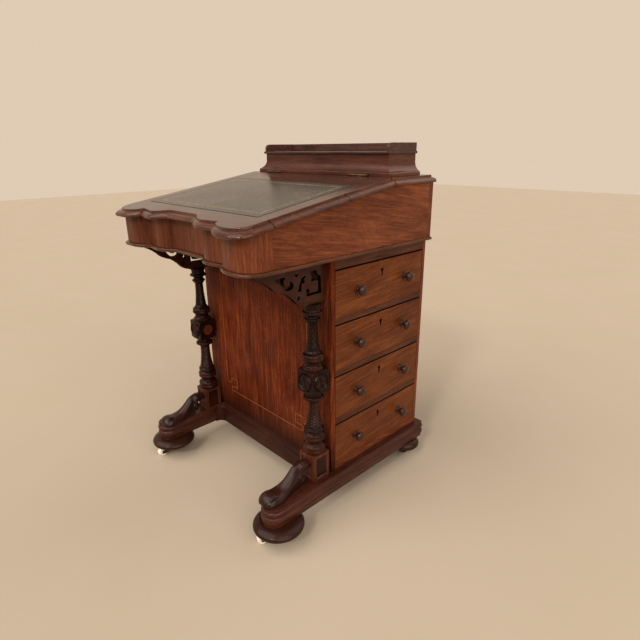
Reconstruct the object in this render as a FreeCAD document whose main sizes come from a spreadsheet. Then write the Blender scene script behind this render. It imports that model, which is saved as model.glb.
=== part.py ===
# Victorian davenport desk, in millimetres, +Z up.
# The sitter faces +Y. The drawers open towards +X. The origin is on the floor under the middle.
import FreeCAD, Part
import Sketcher
import os
import re

# Driving sizes

DRAWERS = 4

SIZES = {
    # Castors
    "castor_height": 29,
    "wheel_radius": 12.5,
    "wheel_width": 13,
    "wheel_round": 2,
    "axle_radius": 2.5,
    "castor_trail": 38,
    "fork_arm": 3,
    "fork_arm_height": 8,
    "fork_side_gap": 0.5,
    "plate_radius": 16,
    "plate_thick": 3,
    "swivel_pin_radius": 4,
    "swivel_head_radius": 7,
    "swivel_head_height": 2,
    "swivel_head_lift": 6,
    "collar_radius": 9,
    "running_gap": 0.05,
    "seat_gap": 0.3,
    # Feet and runners
    "foot_height": 23,
    "front_foot_radius": 57,
    "rear_foot_radius": 40,
    "foot_from_nose": 39,
    "foot_from_tail": 40,
    "rear_reach": 282.5,
    "runner_length": 528,
    "runner_spread": 526,
    "runner_width": 57,
    "runner_height": 46,
    "runner_moulding_width": 5,
    "runner_moulding_height": 9,
    # Case
    "case_width": 490,
    "case_depth": 326,
    "runner_tail": 11,
    "front_board": 13,
    "back_board": 11,
    "side_board": 16,
    "floor_board": 14,
    "drawer_opening": 106,
    "divider": 14,
    "top_rail": 21,
    "top_rail_depth": 60,
    "plinth_height": 55,
    "plinth_proud": 8,
    "plinth_cove": 22,
    # Drawers
    "drawer_front": 18,
    "drawer_gap": 1.2,
    "drawer_top_gap": 2.4,
    "drawer_side": 9,
    "drawer_side_drop": 8,
    "drawer_bottom": 6,
    "drawer_bottom_lift": 5,
    "drawer_stop_gap": 12,
    "dummy_front": 8,
    "knob_spread": 165,
    "knob_radius": 11.5,
    "knob_length": 23,
    "small_knob_radius": 6.5,
    "small_knob_length": 13,
    "keyhole_drop": 24,
    "keyhole_radius": 2.8,
    "keyhole_slot_width": 2.6,
    "keyhole_slot_length": 9,
    "lock_width": 45,
    "lock_height": 34,
    "lock_thick": 8,
    # Columns, brackets and knees
    "column_spread": 448,
    "column_standoff": 33,
    "column_height": 415,
    "column_block": 48,
    "base_block_height": 60,
    "fret_thick": 22,
    "fret_length": 182,
    "fret_foot": 55,
    "fret_nose": 4,
    "knee_width": 32,
    "knee_crest": 14,
    "knee_length": 125,
    "knee_height": 56,
    # Desk box
    "box_width": 506,
    "box_depth": 506,
    "box_wall": 14,
    "box_back_height": 126,
    "box_rear_overhang": 5,
    "bead_height": 8,
    "bead_reach": 5,
    "apron_set_back": 6,
    "apron_thick": 18,
    "flat_half": 42,
    "curve_x": 66,
    "curve_reach": 8,
    "ridge_x": 105,
    "ridge_reach": 22,
    "notch_x": 150,
    "notch_reach": 15,
    "lobe_x": 158,
    "lobe_start_reach": 26,
    "lobe_front_x": 200,
    "lobe_reach": 38,
    "corner_radius": 36,
    # Slope lid, flat top and their hinges
    "flat_top_depth": 148,
    "top_overhang": 6,
    "top_rear_overhang": 3,
    "lid_slope": 9.2,
    "lid_thick": 16,
    "lid_gap": 0.4,
    "lid_overhang": 16.5,
    "lid_step": 13,
    "lid_step_height": 6,
    "leather_width": 420,
    "leather_front_margin": 44,
    "leather_back_margin": 78,
    "leather_thick": 1.5,
    "hinge_spread": 300,
    "hinge_length": 60,
    "leaf_thick": 1.4,
    "leaf_height": 12,
    "leaf_gap": 0.2,
    "knuckle_radius": 2.5,
    "hinge_pin_radius": 1.2,
    # Stationery box
    "stationery_width": 461,
    "stationery_depth": 113,
    "stationery_set_back": 9.5,
    "stationery_height": 47,
    "stationery_wall": 10,
    "cavetto_depth": 15,
    "cavetto_foot": 8,
    "cavetto_rise": 28,
    "stationery_lid_thick": 6,
    "stationery_lid_overhang": 5,
    "gallery_height": 18,
    "gallery_thick": 7,
    "gallery_corner": 12,
    "gallery_set_back": 3,
    "small_hinge_spread": 280,
    "small_hinge_length": 40,
    # Drawers inside the desk box
    "nest_height": 58,
    "nest_board": 8,
    "nest_depth": 130,
    "small_drawer_front": 9,
    "small_drawer_side": 6,
    "small_drawer_gap": 0.8,
    # One overrun for all cuts
    "overrun": 5,
}

# Places worked out from the driving sizes
PLACES = {
    "foot_top": "castor_height + foot_height",
    "runner_top": "foot_top + runner_height",
    "runner_outer": "runner_spread / 2",
    "runner_inner": "runner_outer - runner_width",
    "runner_middle": "runner_outer - runner_width / 2",
    "runner_nose": "rear_reach - runner_length",
    "front_foot_y": "runner_nose + foot_from_nose",
    "rear_foot_y": "rear_reach - foot_from_tail",
    "case_half": "case_width / 2",
    "case_rear": "rear_reach - runner_tail",
    "case_front": "case_rear - case_depth",
    "bay_front": "case_front + front_board",
    "bay_rear": "case_rear - back_board",
    "bay_middle": "(bay_front + bay_rear) / 2",
    "bay_floor": "runner_top + floor_board",
    "bay_left": "side_board - case_half",
    "drawer_pitch": "drawer_opening + divider",
    "rail_base": f"bay_floor + {DRAWERS} * drawer_pitch - divider",
    "case_top": "rail_base + top_rail",
    "column_x": "column_spread / 2",
    "column_y": "case_front - column_standoff",
    "block_half": "column_block / 2",
    "turned_base": "runner_top + base_block_height",
    "turned_height": "column_height - base_block_height",
    "fret_base": "runner_top + column_height",
    "fret_height": "case_top - fret_base",
    "knee_rear": "column_y - block_half",
    "knee_flank": "(knee_width - knee_crest) / 2",
    "box_half": "box_width / 2",
    "box_inner": "box_half - box_wall",
    "box_base": "case_top + bead_height",
    "box_rear": "case_rear + box_rear_overhang",
    "box_back_face": "box_rear - box_wall",
    "bead_line": "box_rear - box_depth",
    "apron_rear": "bead_line + apron_set_back + apron_thick",
    "top_base": "box_base + box_back_height",
    "top_thick": "lid_thick / cos(lid_slope) + lid_gap",
    "top_face": "top_base + top_thick",
    "top_half": "box_half + top_overhang",
    "hinge_y": "box_rear - flat_top_depth",
    "joint_half": "leaf_thick + leaf_gap",
    "hinge_z": "top_face + knuckle_radius + leaf_gap",
    "lid_front": "-(hinge_y - bead_line + lid_overhang) / cos(lid_slope)",
    "stationery_front": "hinge_y + joint_half + stationery_set_back",
    "stationery_rear": "stationery_front + stationery_depth",
    "stationery_half": "stationery_width / 2",
    "neck_half": "stationery_half - cavetto_depth",
    "neck_front": "stationery_front + cavetto_depth",
    "well_half": "neck_half - stationery_wall",
    "well_front": "neck_front + stationery_wall",
    "well_rear": "stationery_rear - stationery_wall",
    "stationery_top": "top_face + stationery_height",
    "gallery_base": "stationery_top + stationery_lid_thick",
    "stationery_lid_half": "neck_half + stationery_lid_overhang",
    "stationery_lid_front": "neck_front - stationery_lid_overhang",
    "gallery_half": "stationery_lid_half - gallery_set_back",
    "small_hinge_y": "stationery_rear + knuckle_radius + leaf_gap",
    "nest_front": "box_back_face - nest_depth",
    "nest_top": "box_base + nest_height",
    "fork_inner": "wheel_width / 2 + fork_side_gap",
    "fork_outer": "fork_inner + fork_arm",
    "collar_top": "castor_height - plate_thick - seat_gap",
    "collar_base": "swivel_head_lift + swivel_head_height + seat_gap",
}

# Turned outlines: radius and height shares of each piece, then how far the line up to that point bows

FOOT_SHARES = [
    (0.0, 0.0, 0),
    (0.74, 0.0, 0),
    (1.0, 0.48, -0.16),
    (0.84, 0.86, -0.16),
    (0.80, 1.0, 0),
    (0.0, 1.0, 0),
]

KNOB_SHARES = [
    (0.0, 0.0, 0),
    (0.86, 0.0, 0),
    (0.86, 0.10, 0),
    (0.46, 0.22, 0.12),
    (0.50, 0.40, 0.06),
    (1.0, 0.68, -0.16),
    (0.72, 0.93, -0.16),
    (0.34, 1.0, -0.06),
    (0.0, 1.0, 0),
]

# Heights are shares of the turned height above the base block, radii are shares of half the square stock
COLUMN_SHARES = [
    (0.0, 0.0, 0),
    (0.84, 0.0, 0),
    (0.96, 0.037, -0.24),
    (0.74, 0.079, -0.14),
    (0.74, 0.095, 0),
    (0.90, 0.117, -0.24),
    (0.74, 0.14, -0.24),
    (0.74, 0.159, 0),
    (0.92, 0.179, -0.24),
    (0.70, 0.209, -0.16),
    (0.54, 0.234, 0.14),
    (0.52, 0.369, 0),
    (0.76, 0.383, 0),
    (0.90, 0.401, -0.24),
    (0.76, 0.423, -0.24),
    (0.76, 0.591, 0),
    (0.94, 0.605, -0.16),
    (0.80, 0.627, 0.10),
    (0.74, 0.645, 0),
    (0.94, 0.668, -0.24),
    (0.72, 0.696, -0.20),
    (0.54, 0.743, 0.12),
    (0.50, 0.885, 0),
    (0.76, 0.892, 0),
    (0.94, 0.906, -0.20),
    (0.62, 0.928, -0.10),
    (0.62, 0.935, 0),
    (0.98, 0.951, 0.16),
    (0.98, 0.967, 0),
    (0.82, 1.0, 0.10),
    (0.0, 1.0, 0),
]

# The square middle of the column, with corners turned away to a point below and a shoulder above
BLOCK_SHARES = [
    (0.0, 0.406, 0),
    (0.80, 0.406, 0),
    (1.42, 0.476, -0.10),
    (1.42, 0.579, 0),
    (0.96, 0.612, -0.06),
    (0.0, 0.612, 0),
]
BLOCK_ENDS_SHARE = (0.406, 0.612)

# Pierced openings of the bracket: shares of its length from the panel and of its height from its foot
FRET_HOLE_SHARES = {
    "teardrop": [
        (0.764, 0.833), (0.722, 0.827), (0.680, 0.809), (0.640, 0.780), (0.641, 0.702),
        (0.625, 0.633), (0.594, 0.590), (0.568, 0.607), (0.550, 0.649), (0.543, 0.705),
        (0.520, 0.705), (0.509, 0.676), (0.502, 0.642), (0.499, 0.605), (0.509, 0.550),
        (0.530, 0.512), (0.557, 0.500), (0.591, 0.527), (0.620, 0.575), (0.640, 0.640),
    ],
    "spandrel": [
        (0.462, 0.815), (0.418, 0.822), (0.432, 0.755),
    ],
    "slit": [
        (0.405, 0.700), (0.373, 0.805), (0.340, 0.760), (0.357, 0.680), (0.340, 0.585),
        (0.385, 0.615),
    ],
    "lower_slit": [
        (0.470, 0.370), (0.450, 0.477), (0.398, 0.530), (0.410, 0.420),
    ],
    "strap": [
        (0.262, 0.812), (0.230, 0.834), (0.170, 0.829), (0.133, 0.711), (0.100, 0.505),
        (0.102, 0.220), (0.301, 0.239), (0.304, 0.416), (0.278, 0.404), (0.273, 0.297),
        (0.147, 0.294), (0.139, 0.556), (0.221, 0.641), (0.254, 0.637),
    ],
    "drop": [
        (0.428, 0.235), (0.418, 0.261), (0.411, 0.292), (0.408, 0.325), (0.405, 0.295),
        (0.399, 0.268), (0.390, 0.245),
    ],
}

# Lower edge of the bracket from its nose to its foot: shares of its length and of its height below the nose
FRET_EDGE_SHARES = [
    (0.963, 0.934), (0.923, 0.876), (0.880, 0.829), (0.828, 0.755), (0.779, 0.669),
    (0.735, 0.572), (0.693, 0.515), (0.648, 0.471), (0.600, 0.440), (0.541, 0.355),
    (0.487, 0.253), (0.440, 0.136),
]

# Knee scroll: shares of its length from the column and of its height from the runner
KNEE_SHARES = [
    (0.0, 0.0, 0),
    (0.0, 0.92, 0),
    (0.10, 1.0, -0.08),
    (0.25, 0.975, -0.05),
    (0.39, 0.75, -0.10),
    (0.50, 0.45, 0.02),
    (0.61, 0.277, 0.06),
    (0.74, 0.205, 0.05),
    (0.86, 0.225, -0.08),
    (0.95, 0.15, -0.12),
    (1.0, 0.0, -0.14),
]
KNEE_EYE_SHARES = [
    (0.05, 0.14, 0),
    (0.05, 0.42, 0),
    (0.17, 0.38, -0.12),
    (0.20, 0.14, -0.12),
]

# The flanks on both sides of the knee's crest are shorter and lower by these shares
KNEE_FLANK_SHARES = (0.95, 0.55)

# How far rounded and hollow lines bow, as shares of their chord
QUARTER_SHARE = (2 ** 0.5 - 1) / 2
RIM_SHARE = 0.2
WAVE_SHARE = 0.085
LOBE_SHARE = 0.07
CAVETTO_SHARE = 0.17

# The pin of a hinge is fast in its outer knuckles, the middle one turns: shares of the hinge's length
OUTER_KNUCKLES_SHARES = ((0, 1 / 3), (2 / 3, 1))
MIDDLE_KNUCKLE_SHARES = ((1 / 3, 2 / 3),)

# Document, sheet and expressions

doc = FreeCAD.newDocument("davenport_desk")
sheet = doc.addObject("Spreadsheet::Sheet", "sizes")
for row, (size_name, size_value) in enumerate(SIZES.items(), start=1):
    sheet.set(f"A{row}", size_name)
    sheet.set(f"B{row}", str(size_value))
    sheet.setAlias(f"B{row}", size_name)
doc.recompute()

WORD = re.compile(r"[a-z]+(?:_[a-z]+)*")


def bound(text):
    """Expression in which each size points at its cell and each place is written out."""
    def swap(found):
        word = found.group(0)
        if word in PLACES:
            return "(" + bound(PLACES[word]) + ")"
        return "sizes." + word if word in SIZES else word
    return WORD.sub(swap, str(text))


def number(text):
    """Present value of an expression."""
    return float(sheet.evalExpression(bound(text)))


def bind(thing, prop, text):
    thing.setExpression(prop, bound(text))


def seat(thing, x="0", y="0", z="0"):
    """Put a piece at a place given by expressions."""
    for axis, text in zip("xyz", (x, y, z)):
        bind(thing, f"Placement.Base.{axis}", text)
    return thing


# Plain solids

def board(name, x, y, z):
    """Board between two ends on each axis."""
    piece = doc.addObject("Part::Box", name)
    for prop, (low, high) in zip(("Length", "Width", "Height"), (x, y, z)):
        bind(piece, prop, f"({high}) - ({low})")
    return seat(piece, x[0], y[0], z[0])


def rod(name, axis, radius, length, x, y, z):
    """Round bar from a point along X or Z."""
    piece = doc.addObject("Part::Cylinder", name)
    bind(piece, "Radius", radius)
    bind(piece, "Height", length)
    if axis == "x":
        piece.Placement = FreeCAD.Placement(
            FreeCAD.Vector(), FreeCAD.Rotation(FreeCAD.Vector(0, 1, 0), 90))
    return seat(piece, x, y, z)


def less(name, base, tool):
    piece = doc.addObject("Part::Cut", name)
    piece.Base = base
    piece.Tool = tool
    return piece


def both(name, base, tool):
    piece = doc.addObject("Part::Common", name)
    piece.Base = base
    piece.Tool = tool
    return piece


def joined(name, pieces):
    piece = doc.addObject("Part::MultiFuse", name)
    piece.Shapes = pieces
    return piece


def group(name, pieces):
    """Several loose solids that share one node."""
    piece = doc.addObject("Part::Compound", name)
    piece.Links = pieces
    return piece


def mirrored(name, source):
    """The same piece on the other side of the middle plane."""
    piece = doc.addObject("Part::Mirroring", name)
    piece.Source = source
    piece.Normal = FreeCAD.Vector(1, 0, 0)
    return piece


# Drawn solids

def draw(body, role, loops, offset="0"):
    """Sketch of closed loops. A step is a place and how far the line up to it bows to its left."""
    sketch = body.newObject("Sketcher::SketchObject", body.Name + "_outline")
    plane = [item for item in body.Origin.OriginFeatures if item.Role == role][0]
    sketch.AttachmentSupport = (plane, [""])
    sketch.MapMode = "FlatFace"
    bind(sketch, "AttachmentOffset.Base.z", offset)
    rules = []
    texts = []
    first = 0
    for loop in loops:
        spots = [FreeCAD.Vector(number(x), number(y), 0) for x, y, bow in loop]
        for index, (x, y, bow) in enumerate(loop):
            start = spots[index - 1]
            end = spots[index]
            chord = end - start
            if bow:
                crown = (start + end) / 2 + FreeCAD.Vector(-chord.y, chord.x, 0) * bow
                sketch.addGeometry(Part.Arc(start, crown, end), False)
            else:
                sketch.addGeometry(Part.LineSegment(start, end), False)
        for index, (x, y, bow) in enumerate(loop):
            edge = first + index
            following = first + (index + 1) % len(loop)
            near, far = loop[index - 1], loop[index]
            end_of = edge_end(bow, True)
            start_of = edge_end(loop[(index + 1) % len(loop)][2], False)
            rules.append(Sketcher.Constraint("Coincident", edge, end_of, following, start_of))
            texts.append(None)
            rules.append(Sketcher.Constraint("DistanceX", -1, 1, edge, end_of, spots[index].x))
            texts.append(x)
            rules.append(Sketcher.Constraint("DistanceY", -1, 1, edge, end_of, spots[index].y))
            texts.append(y)
            if bow:
                chord = f"sqrt((({far[0]}) - ({near[0]}))^2 + (({far[1]}) - ({near[1]}))^2)"
                rules.append(Sketcher.Constraint("Radius", edge, sketch.Geometry[edge].Radius))
                texts.append(f"{chord} * {(1 + 4 * bow * bow) / (8 * abs(bow))}")
        first += len(loop)
    sketch.addConstraint(rules)
    for index, text in enumerate(texts):
        if text is not None:
            bind(sketch, f"Constraints[{index}]", text)
    return sketch


def edge_end(bow, last):
    """Which end of a sketch edge is its last or first: arcs always run anticlockwise."""
    if bow > 0:
        return 1 if last else 2
    return 2 if last else 1


def slabs(name, role, layers):
    """Body of padded outlines. A layer is its loops, its offset along the plane's normal and its depth."""
    body = doc.addObject("PartDesign::Body", name)
    for loops, offset, depth in layers:
        pad = body.newObject("PartDesign::Pad", name + "_pad")
        pad.Profile = draw(body, role, loops, offset)
        bind(pad, "Length", depth)
    return body


def spun(name, loop):
    """Body spun about its own Z axis from half its outline."""
    body = doc.addObject("PartDesign::Body", name)
    spin = body.newObject("PartDesign::Revolution", name + "_spin")
    sketch = draw(body, "XZ_Plane", [loop])
    spin.Profile = sketch
    spin.ReferenceAxis = (sketch, ["V_Axis"])
    return body


def turned(name, shares, radius, height):
    """Body spun from shares of a radius and a height."""
    return spun(name, [(f"{r} * ({radius})", f"{z} * ({height})", bow) for r, z, bow in shares])


def lying(body, axis, angle):
    """Lay a spun body down before it is seated."""
    body.Placement = FreeCAD.Placement(FreeCAD.Vector(), FreeCAD.Rotation(axis, angle))
    return body


# Castors: a plate and swivel pin fixed to each foot, a fork that swivels and a wheel that rolls

CASTOR_PLACES = {
    "front_right": ("runner_middle", "front_foot_y"),
    "front_left": ("-runner_middle", "front_foot_y"),
    "rear_right": ("runner_middle", "rear_foot_y"),
    "rear_left": ("-runner_middle", "rear_foot_y"),
}

# How far each castor is turned at rest, in degrees from trailing towards the sitter
CASTOR_TURNS = {"front_right": -22, "front_left": 0, "rear_right": -100, "rear_left": 100}
UPRIGHT = FreeCAD.Vector(0, 0, 1)


def castor_plate(name, x, y):
    loop = [
        ("0", "swivel_head_lift", 0),
        ("swivel_head_radius", "swivel_head_lift", 0),
        ("swivel_head_radius", "swivel_head_lift + swivel_head_height", 0),
        ("swivel_pin_radius", "swivel_head_lift + swivel_head_height", 0),
        ("swivel_pin_radius", "castor_height - plate_thick", 0),
        ("plate_radius", "castor_height - plate_thick", 0),
        ("plate_radius", "castor_height", 0),
        ("0", "castor_height", 0),
    ]
    return seat(spun(name, loop), x, y)


def castor_fork(name, x, y, turn):
    collar = rod(name + "_collar", "z", "collar_radius", "collar_top - collar_base", "0", "0", "collar_base")
    axle = rod(name + "_axle", "x", "axle_radius", "2 * fork_outer", "-fork_outer", "-castor_trail",
               "wheel_radius")
    arm_y = ("-castor_trail - fork_arm_height / 2", "0")
    arm_z = ("wheel_radius - fork_arm_height / 2", "wheel_radius + fork_arm_height / 2")
    right_arm = board(name + "_right_arm", ("fork_inner", "fork_outer"), arm_y, arm_z)
    left_arm = board(name + "_left_arm", ("-fork_outer", "-fork_inner"), arm_y, arm_z)
    whole = joined(name + "_whole", [collar, axle, right_arm, left_arm])
    bore = rod(name + "_bore", "z", "swivel_pin_radius + running_gap", "castor_height", "0", "0", "0")
    fork = less(name, whole, bore)
    fork.Placement = FreeCAD.Placement(FreeCAD.Vector(), FreeCAD.Rotation(UPRIGHT, turn))
    return seat(fork, x, y)


def castor_wheel(name, x, y, turn):
    bore = "axle_radius + running_gap"
    edge = "wheel_width / 2"
    shoulder = "wheel_width / 2 - wheel_round"
    loop = [
        (bore, f"-({edge})", 0),
        ("wheel_radius - wheel_round", f"-({edge})", 0),
        ("wheel_radius", f"-({shoulder})", -RIM_SHARE),
        ("wheel_radius", shoulder, 0),
        ("wheel_radius - wheel_round", edge, -RIM_SHARE),
        (bore, edge, 0),
    ]
    body = spun(name, loop)
    across = FreeCAD.Rotation(FreeCAD.Vector(0, 1, 0), 90)
    body.Placement = FreeCAD.Placement(FreeCAD.Vector(), FreeCAD.Rotation(UPRIGHT, turn) * across)
    return seat(body, f"{x} + castor_trail * sin({turn})", f"{y} - castor_trail * cos({turn})",
                "wheel_radius")


nodes = []
plates = []
for corner, (corner_x, corner_y) in CASTOR_PLACES.items():
    corner_turn = CASTOR_TURNS[corner]
    plates.append(castor_plate(f"plate_{corner}", corner_x, corner_y))
    nodes.append(castor_fork(f"castor_fork_{corner}", corner_x, corner_y, corner_turn))
    nodes.append(castor_wheel(f"castor_wheel_{corner}", corner_x, corner_y, corner_turn))
nodes.append(group("castor_plates", plates))

# Bun feet and sledge runners

for end in ("front", "rear"):
    pair = []
    for side in ("right", "left"):
        foot = turned(f"bun_{end}_{side}", FOOT_SHARES, f"{end}_foot_radius", "foot_height")
        foot_x, foot_y = CASTOR_PLACES[f"{end}_{side}"]
        pair.append(seat(foot, foot_x, foot_y, "castor_height"))
    nodes.append(group(f"feet_{end}", pair))


def runner_plan(inset):
    """Sledge runner with a round nose. The inset draws in its nose and its outer edge."""
    outer = f"runner_outer - ({inset})"
    nose = f"runner_nose + ({inset})"
    round_radius = f"({outer} - runner_inner) / 2"
    return [
        ("runner_inner", "rear_reach", 0),
        ("runner_inner", f"{nose} + {round_radius}", 0),
        (f"runner_inner + {round_radius}", nose, -QUARTER_SHARE),
        (outer, f"{nose} + {round_radius}", -QUARTER_SHARE),
        (outer, "rear_reach", 0),
    ]


def runner(name):
    body = slabs(name, "XY_Plane", [
        ([runner_plan("0")], "foot_top", "runner_height - runner_moulding_height"),
    ])
    slope = body.newObject("PartDesign::AdditiveLoft", name + "_moulding")
    slope.Profile = draw(body, "XY_Plane", [runner_plan("0")], "runner_top - runner_moulding_height")
    slope.Sections = [draw(body, "XY_Plane", [runner_plan("runner_moulding_width")], "runner_top")]
    slope.Ruled = True
    return body


nodes.append(runner("runner_right"))
nodes.append(mirrored("runner_left", nodes[-1]))

# Case: front panel, plinth, back, floor, dividers and the dummy side

FULL_WIDTH = ("-case_half", "case_half")
BAY_Y = ("bay_front", "bay_rear")

nodes.append(board("front_panel", FULL_WIDTH, ("case_front", "bay_front"), ("runner_top", "case_top")))
nodes.append(board("back_panel", FULL_WIDTH, ("bay_rear", "case_rear"), ("runner_top", "case_top")))
nodes.append(board("case_floor", FULL_WIDTH, BAY_Y, ("runner_top", "bay_floor")))

plinth_face = "case_front - plinth_proud"
cove_start = "runner_inner - plinth_cove"
plinth_plan = [
    ("-runner_inner", "case_front", 0),
    ("-runner_inner", f"{plinth_face} - plinth_cove", 0),
    (f"-({cove_start})", plinth_face, QUARTER_SHARE),
    (cove_start, plinth_face, 0),
    ("runner_inner", f"{plinth_face} - plinth_cove", QUARTER_SHARE),
    ("runner_inner", "case_front", 0),
]
plinth_front = slabs("plinth_front", "XY_Plane", [([plinth_plan], "foot_top", "plinth_height")])
plinth_back = board("plinth_back", ("-runner_inner", "runner_inner"), ("case_front", "bay_front"),
                    ("foot_top", "runner_top"))
COLUMN_SQUARE = (("column_x - block_half", "column_x + block_half"),
                 ("column_y - block_half", "column_y + block_half"))
column_notch = board("plinth_notch", *COLUMN_SQUARE, ("runner_top", "foot_top + plinth_height + overrun"))
notches = joined("plinth_notches", [column_notch, mirrored("plinth_notch_left", column_notch)])
nodes.append(less("plinth_rail", joined("plinth_whole", [plinth_front, plinth_back]), notches))


def opening_floor(index):
    """Height of the floor of a drawer opening, counted from the lowest."""
    return f"bay_floor + {index} * drawer_pitch"


rails = [board("top_rail_board", ("case_half - top_rail_depth", "case_half"), BAY_Y,
               ("rail_base", "case_top"))]
for index in range(1, DRAWERS):
    rails.append(board(f"divider_{index}", ("bay_left", "case_half"), BAY_Y,
                       (f"{opening_floor(index)} - divider", opening_floor(index))))
nodes.append(group("drawer_rails", rails))

dummy_depth = ("-case_half", "dummy_front - case_half")
blank = board("dummy_blank", ("-case_half", "bay_left"), BAY_Y, ("bay_floor", "case_top"))
pockets = []
dummies = []
dummy_knobs = []


def knob(name, x, y, z, turn):
    """Turned knob standing out along X."""
    body = turned(name, KNOB_SHARES, "knob_radius", "knob_length")
    lying(body, FreeCAD.Vector(0, 1, 0), turn)
    return seat(body, x, y, z)


def knob_pair(name, index, x, turn):
    """Two knobs at half the height of a drawer."""
    height = f"{opening_floor(index)} + (drawer_opening - drawer_top_gap) / 2"
    return [
        knob(f"{name}_front", x, "bay_middle - knob_spread / 2", height, turn),
        knob(f"{name}_rear", x, "bay_middle + knob_spread / 2", height, turn),
    ]


for index in range(DRAWERS):
    low = opening_floor(index)
    pockets.append(board(f"dummy_pocket_{index + 1}", dummy_depth, BAY_Y, (low, f"{low} + drawer_opening")))
    dummies.append(board(f"dummy_front_{index + 1}", dummy_depth,
                         ("bay_front + drawer_gap", "bay_rear - drawer_gap"),
                         (low, f"{low} + drawer_opening - drawer_top_gap")))
    dummy_knobs += knob_pair(f"dummy_knob_{index + 1}", index, "-case_half", -90)
nodes.append(less("dummy_side", blank, joined("dummy_pockets", pockets)))
nodes.append(group("dummy_fronts", dummies))
nodes.append(group("dummy_knobs", dummy_knobs))

# Drawers, numbered from the top

front_x = ("case_half - drawer_front", "case_half")
box_y = ("bay_front + drawer_gap", "bay_rear - drawer_gap")
box_inner_y = ("bay_front + drawer_gap + drawer_side", "bay_rear - drawer_gap - drawer_side")
drawer_back_x = "bay_left + drawer_stop_gap"


def drawer_face(name, low):
    """Drawer front with its keyhole."""
    top = f"{low} + drawer_opening - drawer_top_gap"
    blank_front = board(name + "_blank", front_x, box_y, (low, top))
    eye = f"{top} - keyhole_drop"
    eye_start = "case_half - drawer_front - overrun"
    eye_length = "drawer_front + 2 * overrun"
    hole = rod(name + "_eye", "x", "keyhole_radius", eye_length, eye_start, "bay_middle", eye)
    slot = board(name + "_slot", (eye_start, "case_half + overrun"),
                 ("bay_middle - keyhole_slot_width / 2", "bay_middle + keyhole_slot_width / 2"),
                 (f"{eye} - keyhole_slot_length", eye))
    return less(name, blank_front, joined(name + "_keyhole", [hole, slot]))


def drawer_tray(name, low):
    """Drawer box of two sides, a back and a bottom, all butted."""
    high = f"{low} + drawer_opening - drawer_top_gap - drawer_side_drop"
    side_x = (drawer_back_x, front_x[0])
    inside_x = (f"{drawer_back_x} + drawer_side", front_x[0])
    lift = f"{low} + drawer_bottom_lift"
    return group(name, [
        board(name + "_front_side", side_x, (box_y[0], box_inner_y[0]), (low, high)),
        board(name + "_rear_side", side_x, (box_inner_y[1], box_y[1]), (low, high)),
        board(name + "_back", (drawer_back_x, inside_x[0]), box_inner_y, (low, high)),
        board(name + "_bottom", inside_x, box_inner_y, (lift, f"{lift} + drawer_bottom")),
    ])


def drawer_lock(name, low):
    """Lock case behind the keyhole."""
    eye = f"{low} + drawer_opening - drawer_top_gap - keyhole_drop"
    return board(name, (f"{front_x[0]} - lock_thick", front_x[0]),
                 ("bay_middle - lock_width / 2", "bay_middle + lock_width / 2"),
                 (f"{eye} - lock_height / 2", f"{eye} + lock_height / 2"))


for count in range(1, DRAWERS + 1):
    drawer_index = DRAWERS - count
    drawer_low = opening_floor(drawer_index)
    nodes.append(drawer_face(f"drawer_front_{count}", drawer_low))
    nodes.append(drawer_tray(f"drawer_box_{count}", drawer_low))
    nodes.append(drawer_lock(f"drawer_lock_{count}", drawer_low))
    knobs = knob_pair(f"drawer_knob_{count}", drawer_index, "case_half", 90)
    nodes.append(group(f"drawer_knobs_{count}", knobs))

# Columns, brackets and knee scrolls

def column(name):
    shaft = seat(turned(name + "_shaft", COLUMN_SHARES, "block_half", "turned_height"),
                 "column_x", "column_y", "turned_base")
    base = board(name + "_base", *COLUMN_SQUARE, ("runner_top", "turned_base"))
    block_z = [f"turned_base + {share} * turned_height" for share in BLOCK_ENDS_SHARE]
    stock = board(name + "_stock", *COLUMN_SQUARE, block_z)
    cone = seat(turned(name + "_cone", BLOCK_SHARES, "block_half", "turned_height"),
                "column_x", "column_y", "turned_base")
    return joined(name, [shaft, base, both(name + "_block", stock, cone)])


nodes.append(column("column_right"))
nodes.append(mirrored("column_left", nodes[-1]))


def fret_line(shares, height):
    """Part of the bracket's outline, over a height above its foot."""
    return [(f"case_front - {along} * fret_length", f"fret_base + {up} * ({height})", 0)
            for along, up in shares]


def fret(name):
    edge = [
        ("case_front", "fret_base", 0),
        ("case_front", "case_top", 0),
        ("case_front - fret_length", "case_top", 0),
        ("case_front - fret_length", "case_top - fret_nose", 0),
    ]
    edge += fret_line(FRET_EDGE_SHARES, "fret_height - fret_nose")
    edge.append(("case_front - fret_foot", "fret_base", 0))
    holes = [fret_line(shares, "fret_height") for shares in FRET_HOLE_SHARES.values()]
    body = slabs(name, "YZ_Plane", [([edge] + holes, "0", "fret_thick")])
    return seat(body, "column_x - fret_thick / 2")


nodes.append(fret("fret_bracket_right"))
nodes.append(mirrored("fret_bracket_left", nodes[-1]))


def knee_outline(shares, length, height):
    """Closed outline of a knee, drawn over a part of its length and height."""
    return [(f"knee_rear - {along * length} * knee_length", f"runner_top + {up * height} * knee_height", bow)
            for along, up, bow in shares]


def knee(name):
    eye = knee_outline(KNEE_EYE_SHARES, 1, 1)
    crest = [knee_outline(KNEE_SHARES, 1, 1), eye]
    flank = [knee_outline(KNEE_SHARES, *KNEE_FLANK_SHARES), eye]
    body = slabs(name, "YZ_Plane", [
        (flank, "0", "knee_flank"),
        (crest, "knee_flank", "knee_crest"),
        (flank, "knee_flank + knee_crest", "knee_flank"),
    ])
    return seat(body, "column_x - knee_width / 2")


nodes.append(knee("knee_scroll_right"))
nodes.append(mirrored("knee_scroll_left", nodes[-1]))

# Desk box with its serpentine front

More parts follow.
